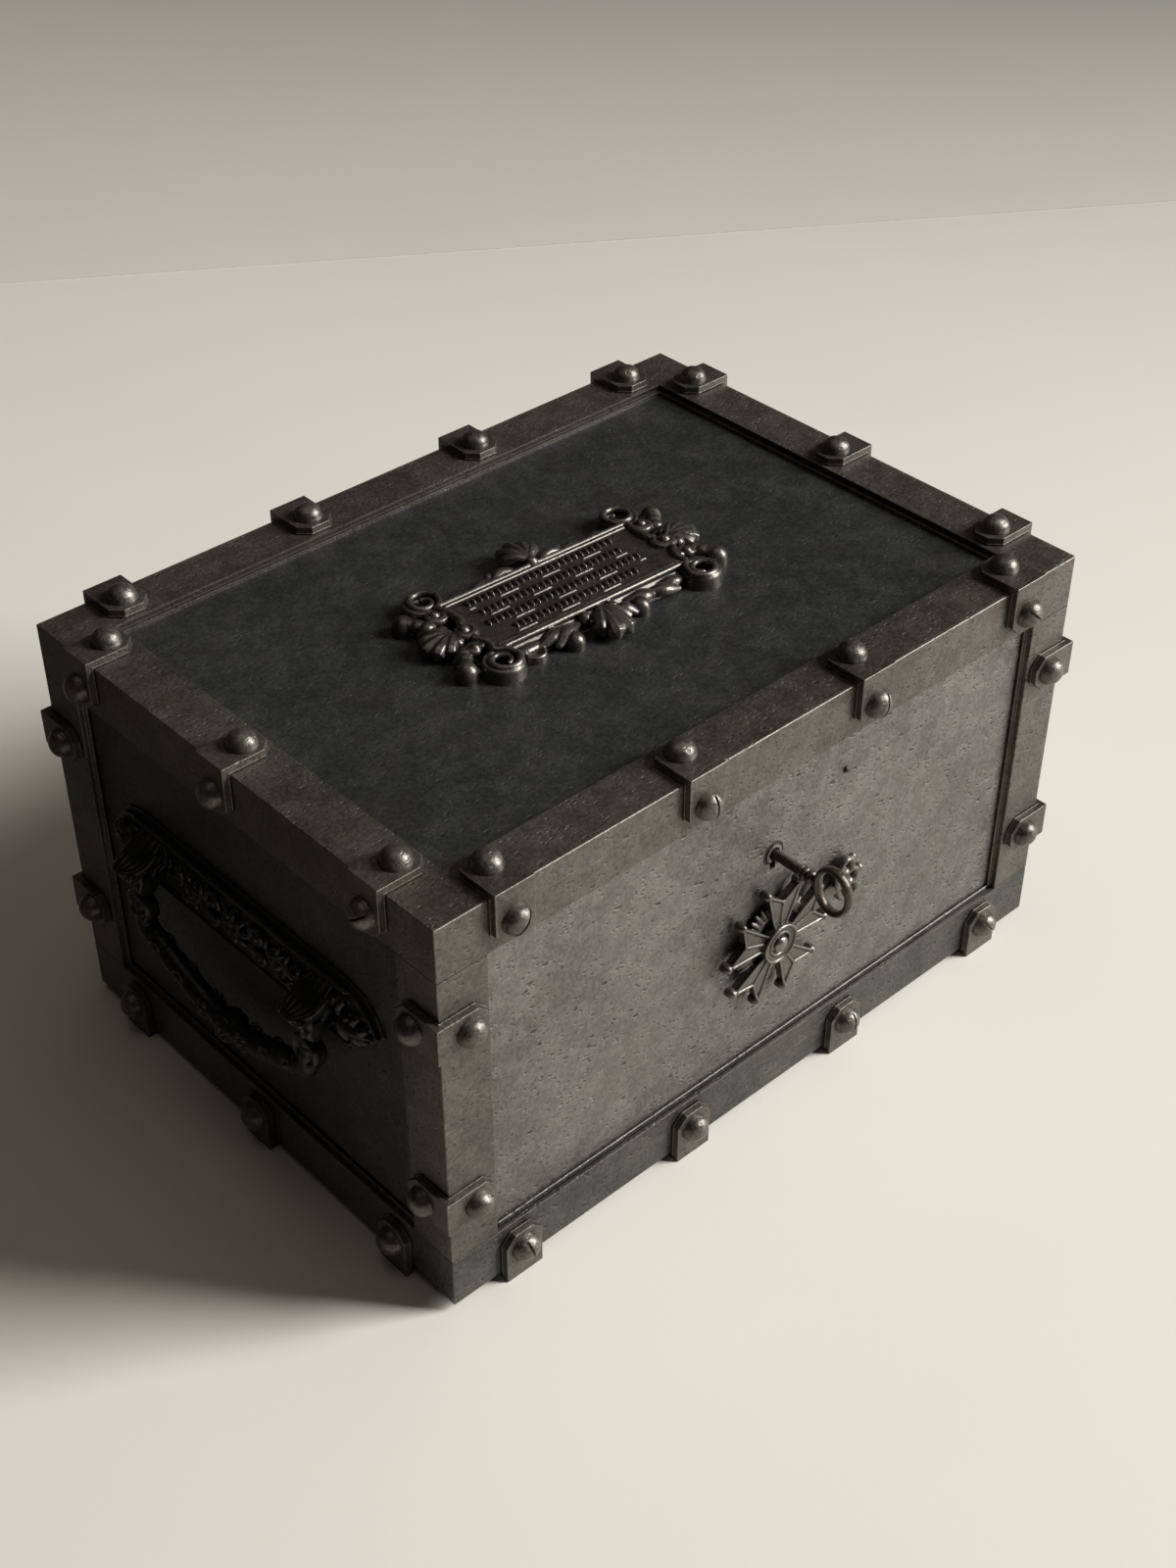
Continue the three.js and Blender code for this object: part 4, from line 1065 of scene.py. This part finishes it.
def bail_face(casting, z, bar):
    """The scrolls, the flower and the cable on one face of half of the grip."""
    for x, y, start in ((38.5, -25.0, -20), (26.0, -29.6, 190)):
        casting.volute(x, y, z * 3.1, 3.2, 1.2, start, 0.9, 0.5, clockwise=start > 0, rise=z * 0.5)
    flower_x, flower_y = 11.5, -34.4
    for angle in around(6):
        x, y = flower_x + 2.9 * math.cos(angle), flower_y + 2.9 * math.sin(angle)
        casting.ball(x, y, z * 3.3, 1.5, squash=0.8)
    casting.ball(flower_x, flower_y, z * 3.7, 1.3)
    cable = flowing([(x, y - radius * 0.8, 0, 0.8) for x, y, _, radius in bar[1:]], 12)
    for x, y, _, radius in cable[::2]:
        casting.ball(x, y, z * 2.2, radius)


def bail_arm(casting):
    """Half of the grip, from the scroll at the end to the middle: a thick wavy bar with a cable below."""
    bar = [(48.0, -14, 0, 3.3), (46.8, -21.5, 0, 3.8), (37.8, -25.6, 0, 3.7), (31.5, -28.4, 0, 4.2)]
    bar += [(25.6, -30.6, 0, 3.8), (18.5, -33.0, 0, 4.3), (12.0, -35.0, 0, 3.9), (0, -36.4, 0, 4.4)]
    casting.tube(bar, steps=6, sides=20)
    for x, y in ((42.0, -22.0), (34.5, -25.2), (25.0, -29.2), (15.0, -32.4), (5.0, -34.6)):
        casting.ball(x, y, 0, 2.6, squash=1.3)
    for z in (-1, 1):
        bail_face(casting, z, bar)


def bail_casting():
    casting = Casting()
    for flip in (False, True):
        with casting.at(flip=flip):
            bail_end(casting)
            bail_arm(casting)
    for z in (-1, 1):
        with casting.at(0, -32.0, z * 3.8, turn=180):
            casting.leaf(9.0, 8, z * 0.8)
    casting.turned([(0, -3.9), (5.2, -3.9), (6.0, -2.9), (6.0, 2.9), (5.2, 3.9), (0, 3.9)], 20, 0, -36.4)
    return casting


# Plaque


def plaque_roll(casting):
    """A rolled strap end: a dished cone with a thick rim that winds in to its hollow."""
    profile = [(0, -0.4), (8.2, -0.4), (8.0, 1.0), (7.5, 4.4), (6.9, 5.3), (5.6, 5.0), (4.6, 3.6)]
    casting.turned([*profile, (3.8, 2.6), (0, 2.4)], 40)
    ridge = []
    for i in range(19):
        share = i / 18
        angle = math.radians(170 - 430 * share)
        radius = 6.1 - 3.9 * share
        x, y = radius * math.cos(angle), radius * math.sin(angle)
        ridge.append((x, y, 5.4 - 0.8 * share, 1.4 - 0.4 * share))
    casting.tube(ridge, steps=2, sides=12)


def plaque_end(casting):
    """Foliage and scrolls on the short end at +X."""
    casting.volute(45.8, -2.0, 5.4, 4.2, 1.4, 120, 1.9, 1.2, rise=0.9)
    stem = [(43.6, 16.4, 5.2, 1.3), (42.4, 10, 5.6, 1.5), (42.6, 4.5, 5.8, 1.7), (44.0, 1.6, 5.6, 1.8)]
    casting.tube(stem, sides=12)
    casting.tube([(43.6, -16.4, 5.2, 1.3), (43.2, -11, 5.6, 1.5), (45.4, -6.6, 5.6, 1.6)], sides=12)
    casting.volute(47.4, 12.8, 4.6, 4.0, 1.2, 170, 1.9, 1.2, rise=0.6)
    casting.volute(48.4, -11.4, 4.4, 3.4, 1.1, 190, 1.7, 1.1, clockwise=True, rise=0.6)
    for flip_y in (True, False):
        with casting.at(flip_y=flip_y):
            for shift, reach in ((0, 1.0), (3.4, 0.9), (6.6, 0.75)):
                start = (49.5 + shift * 0.3, 9.5 + shift * 0.5, 3.6)
                middle = (52.6 + shift * 0.55, 10.2 + shift * 1.0, 4.4)
                casting.lobe(start, middle, (56.5 * reach + shift * 1.6, 10.5 + shift * 1.5, 2.4), 2.5)
            casting.ball(50.4, 4.4, 4.4, 2.4)
            casting.bud(57.0, 18.1, 4.1, 6.7, -0.5)
    with casting.at(48.5, 0, 0.8, turn=-90):
        casting.shell(5, 14, 84, 5.4, 2.2, 2.6)


def plaque_middle(casting):
    """The scallop and its side foliage behind the middle of the long edge at +Y."""
    with casting.at(0, FIELD_WIDTH / 2 + 1.5, 1.2):
        casting.shell(5, 16, 84, 6.2, 2.8, 2.5)
    casting.ball(0, FIELD_WIDTH / 2 + 1.0, 5.6, 2.6)
    for flip in (True, False):
        with casting.at(flip=flip):
            casting.lobe((5, 19, 3.6), (11, 21.6, 4.2), (17, 19.5, 3.0), 2.2)
            casting.lobe((14, 19.4, 3.2), (21, 20.6, 3.6), (28, 18.8, 2.6), 2.0)
            casting.lobe((24, 19.0, 3.0), (32, 20.4, 3.2), (39, 19.4, 2.6), 1.9)
            casting.ball(15.5, 23.0, 2.2, 2.4)


def plaque_slope(casting):
    """A slope from the field's edge at -Y down towards the lid."""
    edge, reach = -FIELD_WIDTH / 2 + 1, FIELD_LENGTH / 2 - 2
    section = [(edge, -0.4), (edge - 6.5, -0.4), (edge - 6.2, 0.9), (edge - 3.6, 2.4)]
    section += [(edge - 0.4, 5.0), (edge, 5.0)]
    casting.prism(*([(x, y, z) for y, z in section] for x in (-reach, reach)))


def plaque_front(casting):
    """The lobed shell, buds and full leaves before the long edge at -Y."""
    plaque_slope(casting)
    for x, y, z, radius in ((-7.0, -20.2, 3.8, 2.8), (0.5, -20.8, 4.2, 2.7), (5.4, -20.2, 3.8, 2.3)):
        casting.ball(x, y, z, radius)
    with casting.at(-1.0, -20.4, 0.6, turn=180):
        casting.shell(4, 15.8, 66, 6.2, 3.0, 3.1)
    for x, y, radius, height in ((-16.7, -26.6, 3.6, 5.8), (14.7, -24.6, 3.6, 5.8)):
        casting.bud(x, y, radius, height, -0.5)
    with casting.at(-31.7, -23.0):
        casting.turned([(0, -0.4), (4.6, -0.4), (4.2, 2.8), (3.6, 3.2), (2.8, 2.6), (1.4, 1.8), (0, 1.6)], 28)
    for start, middle, end, radius in (
        ((-10.5, -20.2, 3.4), (-17.5, -22.8, 4.0), (-23.5, -25.6, 2.4), 3.2),
        ((-13.0, -19.8, 3.2), (-21.5, -20.8, 3.8), (-29.0, -22.0, 2.2), 2.9),
        ((-25.0, -20.0, 2.4), (-33.5, -20.6, 2.6), (-40.0, -20.0, 2.0), 2.3),
        ((5.5, -20.5, 3.4), (8.6, -23.6, 3.8), (11.5, -26.6, 2.2), 2.7),
        ((11.5, -20.2, 3.2), (18.0, -21.8, 4.0), (24.0, -21.4, 2.6), 3.2),
        ((20.0, -20.4, 3.0), (27.0, -22.8, 3.4), (33.5, -24.2, 2.0), 3.1),
        ((27.0, -20.0, 3.0), (33.0, -21.0, 3.6), (38.5, -20.6, 2.4), 2.7),
    ):
        casting.lobe(start, middle, end, radius)


def lozenge(casting, x, y, half_width, half_height, bottom, top):
    """A lozenge stud with a small flat top."""
    corners = [(half_width, 0), (0, half_height), (-half_width, 0), (0, -half_height)]
    foot = [(x + dx, y + dy, bottom) for dx, dy in corners]
    casting.prism(foot, [(x + dx * 0.5, y + dy * 0.6, top) for dx, dy in corners])


def plaque_studs(casting):
    """Rows of plain lozenge studs, with short bars between the rows."""
    for row, count in enumerate(FIELD_ROW_STUDS):
        y = (row - (len(FIELD_ROW_STUDS) - 1) / 2) * FIELD_ROW_PITCH + 0.8
        start = -FIELD_LENGTH / 2 + 7.5 + (max(FIELD_ROW_STUDS) - count) * 1.3
        for column in range(count):
            x = start + column * FIELD_STUD_PITCH
            lozenge(casting, x, y, 0.95, 2.2, FIELD_TOP - 0.2, FIELD_TOP + 1.3)
            if (column + 3 * row) % 7 < 3:
                bar = rectangle(x - 1.4, x + 1.4, y - 3.25, y - 2.75)
                casting.slab(bar, FIELD_TOP - 0.2, FIELD_TOP + 0.5)


def plaque_field(casting):
    """The raised field with its frame lines, on a lower plate with cut corners."""
    x, y = FIELD_LENGTH / 2, FIELD_WIDTH / 2
    casting.slab(rectangle(-x, x, -y, y), -0.4, FIELD_TOP)
    far_x, far_y = x + 7, y + 4
    plate = [(-x, -far_y), (x, -far_y), (far_x, -y), (far_x, y)]
    casting.slab([*plate, (x, far_y), (-x, far_y), (-far_x, y), (-far_x, -y)], -0.4, 1.5)
    for side in (-1, 1):
        for inset, radius in ((0, 1.05), (1.9, 0.55)):
            place = (side * (y - inset), FIELD_TOP + 0.1, radius)
            casting.tube([(-x + inset, *place), (x - inset, *place)])
    plaque_studs(casting)


def plaque_casting():
    casting = Casting()
    plaque_field(casting)
    for flip in (False, True):
        with casting.at(flip=flip):
            plaque_end(casting)
            for flip_y in (False, True):
                with casting.at(flip_y=flip_y), casting.at(45.0, 22.8):
                    plaque_roll(casting)
                    casting.tube([(-1.6, -6.6, 5.2, 1.3), (-4.6, -3.6, 5.6, 1.2), (-6.2, 1.0, 5.8, 1.0)])
    plaque_middle(casting)
    plaque_front(casting)
    return casting


# Camera, light and floor


def camera():
    """The photo's camera, fitted to the corners of the box."""
    data = bpy.data.cameras.new("camera")
    data.sensor_fit = "AUTO"
    data.sensor_width = 36
    data.lens = 50.49
    data.clip_start = 0.01
    obj = scene_object("camera", data)
    right = Vector((0.73647, -0.67647, 0))
    down = Vector((-0.41700, -0.45400, -0.78740))
    forward = Vector((0.53266, 0.57989, -0.61644))
    obj.matrix_world = axes_place(Vector((-437.3, -474.4, 596.0)) * MM, right, -down, -forward)
    bpy.context.scene.camera = obj


def window_light(name, azimuth, elevation, distance, width, height, energy, colour):
    """A broad lamp that looks at the box. Azimuth 0 is before the front and 90 is off its right end."""
    data = bpy.data.lights.new(name, "AREA")
    data.shape = "RECTANGLE"
    data.size = width
    data.size_y = height
    data.energy = energy
    data.color = colour
    obj = scene_object(name, data)
    turn, rise = math.radians(azimuth), math.radians(elevation)
    out = Vector((math.sin(turn) * math.cos(rise), -math.cos(turn) * math.cos(rise), math.sin(rise)))
    obj.location = out * distance + Vector((0, 0, 0.08))
    obj.rotation_mode = "QUATERNION"
    obj.rotation_quaternion = (-out).to_track_quat("-Z", "Y")


def tabletop(name, material, near, far, height):
    """A flat sheet across the view, between two distances beyond the seam of the two tables, in metres."""
    along = (SEAM_END - SEAM_START).normalized()
    away = Vector((-along.y, along.x))
    corners = [SEAM_START + along * side + away * depth for depth in (near, far) for side in (-6, 6)]
    points = [(corner.x, corner.y, level) for level in (height - 0.004, height) for corner in corners]
    faces = [(4, 5, 7, 6), (0, 1, 5, 4), (1, 3, 7, 5), (3, 2, 6, 7), (2, 0, 4, 6), (0, 2, 3, 1)]
    mesh = shell_mesh(points, faces)
    mesh.materials.append(material)
    scene_object(name, mesh)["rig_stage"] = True


def surroundings():
    """The tables, the room's faint light, the window and a lamp overhead."""
    tabletop("table", pale_table("pale_table", (0.735, 0.72, 0.66)), -6.0, 0.0, 0.0)
    tabletop("far_table", pale_table("far_table", (0.69, 0.675, 0.615)), 0.0, 6.0, 0.0006)
    world = bpy.data.worlds.new("room")
    world.use_nodes = True
    shade = world.node_tree.nodes["Background"]
    shade.inputs["Color"].default_value = (1.15, 1.0, 0.86, 1.0)
    shade.inputs["Strength"].default_value = 0.024
    bpy.context.scene.world = world
    window_light("window", 48.8, 28.3, 5.5, 1.95, 3.6, 612, (1.0, 1.0, 0.97))
    window_light("ceiling", 0, 90, 2.2, 1.6, 1.6, 4.6, (1.0, 0.93, 0.83))
    bpy.context.scene.view_settings.view_transform = "Standard"


# Materials


# The greys are the dark, the light, the stained and the worn one, each with its level and its warmth.
frame_iron = iron("frame_iron", [(0.055, 0.12), (0.135, 0.1), (0.12, 0.25), (0.3, 0.08)],
                  (0.9, 1.9), 0.2, 0.45, 0.7, 1.2)
clip_iron = iron("clip_iron", [(0.055, 0.12), (0.13, 0.1), (0.11, 0.22), (0.28, 0.08)],
                 (0.9, 1.9), 0.2, 0.42, 0.5, 1.0)
head_iron = iron("head_iron", [(0.06, 0.1), (0.15, 0.09), (0.08, 0.2), (0.3, 0.08)],
                 (0.9, 1.9), 0.15, 0.37, 0.5, 1.2)
panel_iron = iron("panel_iron", [(0.085, 0.06), (0.2, 0.06), (0.12, 0.15), (0.3, 0.08)],
                  (0.9, 1.9), 0.2, 0.46, 1.0, 1.5, painted_end_shade=True)
lid_iron = iron("lid_iron", [(0.045, -0.02), (0.09, 0.0), (0.075, 0.15), (0.2, 0.05)],
                (0.9, 1.9), 0.2, 0.46, 0.5, 0.9)
ornament_iron = iron("ornament_iron", [(0.06, 0.1), (0.12, 0.1), (0.07, 0.2), (0.36, 0.08)],
                     (0.2, 1.1), 0.25, 0.36, 0.15, 0.6, metallic=0.8)
handle_iron = iron("handle_iron", [(0.007, 0.12), (0.018, 0.12), (0.018, 0.25), (0.14, 0.1)],
                   (0.25, 1.3), 0.35, 0.36, 0.15, 0.5, metallic=0.6)
rail_iron = iron("rail_iron", [(0.03, 0.08), (0.1, 0.06), (0.08, 0.15), (0.26, 0.06)],
                 (0.9, 1.9), 0.25, 0.42, 1.0, 1.6)
key_iron = iron("key_iron", [(0.04, 0.2), (0.085, 0.15), (0.05, 0.3), (0.26, 0.1)],
                (0.4, 1.3), 0.25, 0.38, 0.3, 0.5, metallic=0.85)
steel = iron("steel", [(0.13, 0.06), (0.26, 0.05), (0.09, 0.22), (0.46, 0.04)],
             (0.3, 1.1), 0.3, 0.34, 0.3, 0.5, metallic=0.9)


# Pieces

case_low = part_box("base_frame")[0]
case_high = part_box("lid_border")[1]


def plates():
    """The frame, the walls, the lid, the lock and the hinge, which keep the shapes of their CAD nodes."""
    lid_foot, lid_shoulder = (bound.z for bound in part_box("lid_skirt"))
    border_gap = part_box("lid_border")[0].z - lid_shoulder
    joints = (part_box("corner_post_front_left")[1].z, lid_foot, lid_shoulder)
    softened("base_frame", FRAME_BEVEL, "frame_iron", rail_iron, joints=joints)
    for node in ["lid_skirt"] + [n for n in frame["nodes"] if n.startswith("corner_post")]:
        softened(node, FRAME_BEVEL, "frame_iron", frame_iron, joints=joints)
    softened("lid_border", FRAME_BEVEL, "frame_iron", frame_iron, joints=joints, sink=border_gap)
    for node in ("case_walls", "case_floor"):
        softened(node, PLATE_BEVEL, "panel_iron", panel_iron)
    softened("lid_panel", PLATE_BEVEL, "lid_iron", lid_iron)
    for node in ("hinge_body_leaf", "hinge_lid_leaf", "hinge_pin"):
        softened(node, PLATE_BEVEL, "steel", steel, segments=2)
    for node in ("lock_case", "lock_bolt", "lock_keeper"):
        softened(node, FITTED_BEVEL, "steel", steel, segments=2, fade=FITTED_FADE)


def clips():
    for count, node in enumerate(sorted(n for n in frame["nodes"] if "_clip_" in n)):
        clip(node, count)


def star_and_key():
    """The star with its pin, the stud above it and the key, all in frames that face the front."""
    low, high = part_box("star_pin")
    front = face_place((0, case_low.y + PANEL_INSET * MM, (low.z + high.z) / 2), (1, 0, 0), (0, 0, 1))
    swung = front @ Matrix.Rotation(-STAR_SWING, 4, "Z")
    cast_piece("star_cast", star_casting(), FINE_VOXEL, swung, "star_keyhole_cover",
               "ornament_iron", ornament_iron)
    cast_piece("star_pin_turned", star_pin(), FINE_VOXEL, front, "star_pin", "steel", steel)
    cast_piece("panel_stud", panel_stud(), FINE_VOXEL / 2, front, "case_walls", "handle_iron", handle_iron)
    key_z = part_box("key")[1].z - KEY_BOW_RADIUS * MM
    key_front = face_place((0, case_low.y, key_z), (1, 0, 0), (0, 0, 1))
    cast_piece("key_forged", key_casting(), FINE_VOXEL, key_front, "key", "steel", key_iron)


def handle(side, along, outer):
    """One end's handle plate and bail, from the outer face of the frame at that end."""
    low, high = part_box(f"{side}_handle_plate")
    plate_z = high.z - PLATE_HEIGHT / 2 * MM
    place = face_place((outer, (low.y + high.y) / 2, plate_z), along, (0, 0, 1))
    cast_piece(f"{side}_handle_plate_cast", handle_plate_casting(), CAST_VOXEL, place,
               f"{side}_handle_plate", "handle_iron", handle_iron)
    hang = place @ Matrix.Translation((0, -PIVOT_DROP, PIVOT_OUT))
    cast_piece(f"{side}_bail_cast", bail_casting(), CAST_VOXEL, hang, f"{side}_bail",
               "handle_iron", handle_iron)


def plaque():
    low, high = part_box("lid_plaque")
    lid_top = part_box("lid_panel")[1].z
    middle = ((low.x + high.x) / 2, (case_low.y + case_high.y) / 2, lid_top)
    turn = Matrix.Rotation(PLAQUE_TURN, 4, "Z") @ Matrix.Translation(PLAQUE_SHIFT)
    place = face_place(middle, (1, 0, 0), (0, 1, 0)) @ turn
    cast_piece("lid_plaque_cast", plaque_casting(), FINE_VOXEL, place, "lid_plaque",
               "ornament_iron", ornament_iron)


plates()
clips()
star_and_key()
handle("left", (0, -1, 0), case_low.x)
handle("right", (0, 1, 0), case_high.x)
plaque()
camera()
surroundings()

boxes = {"cad": cad_box, "visual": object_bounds()}
{name: [list(corner) for corner in box] for name, box in boxes.items()}
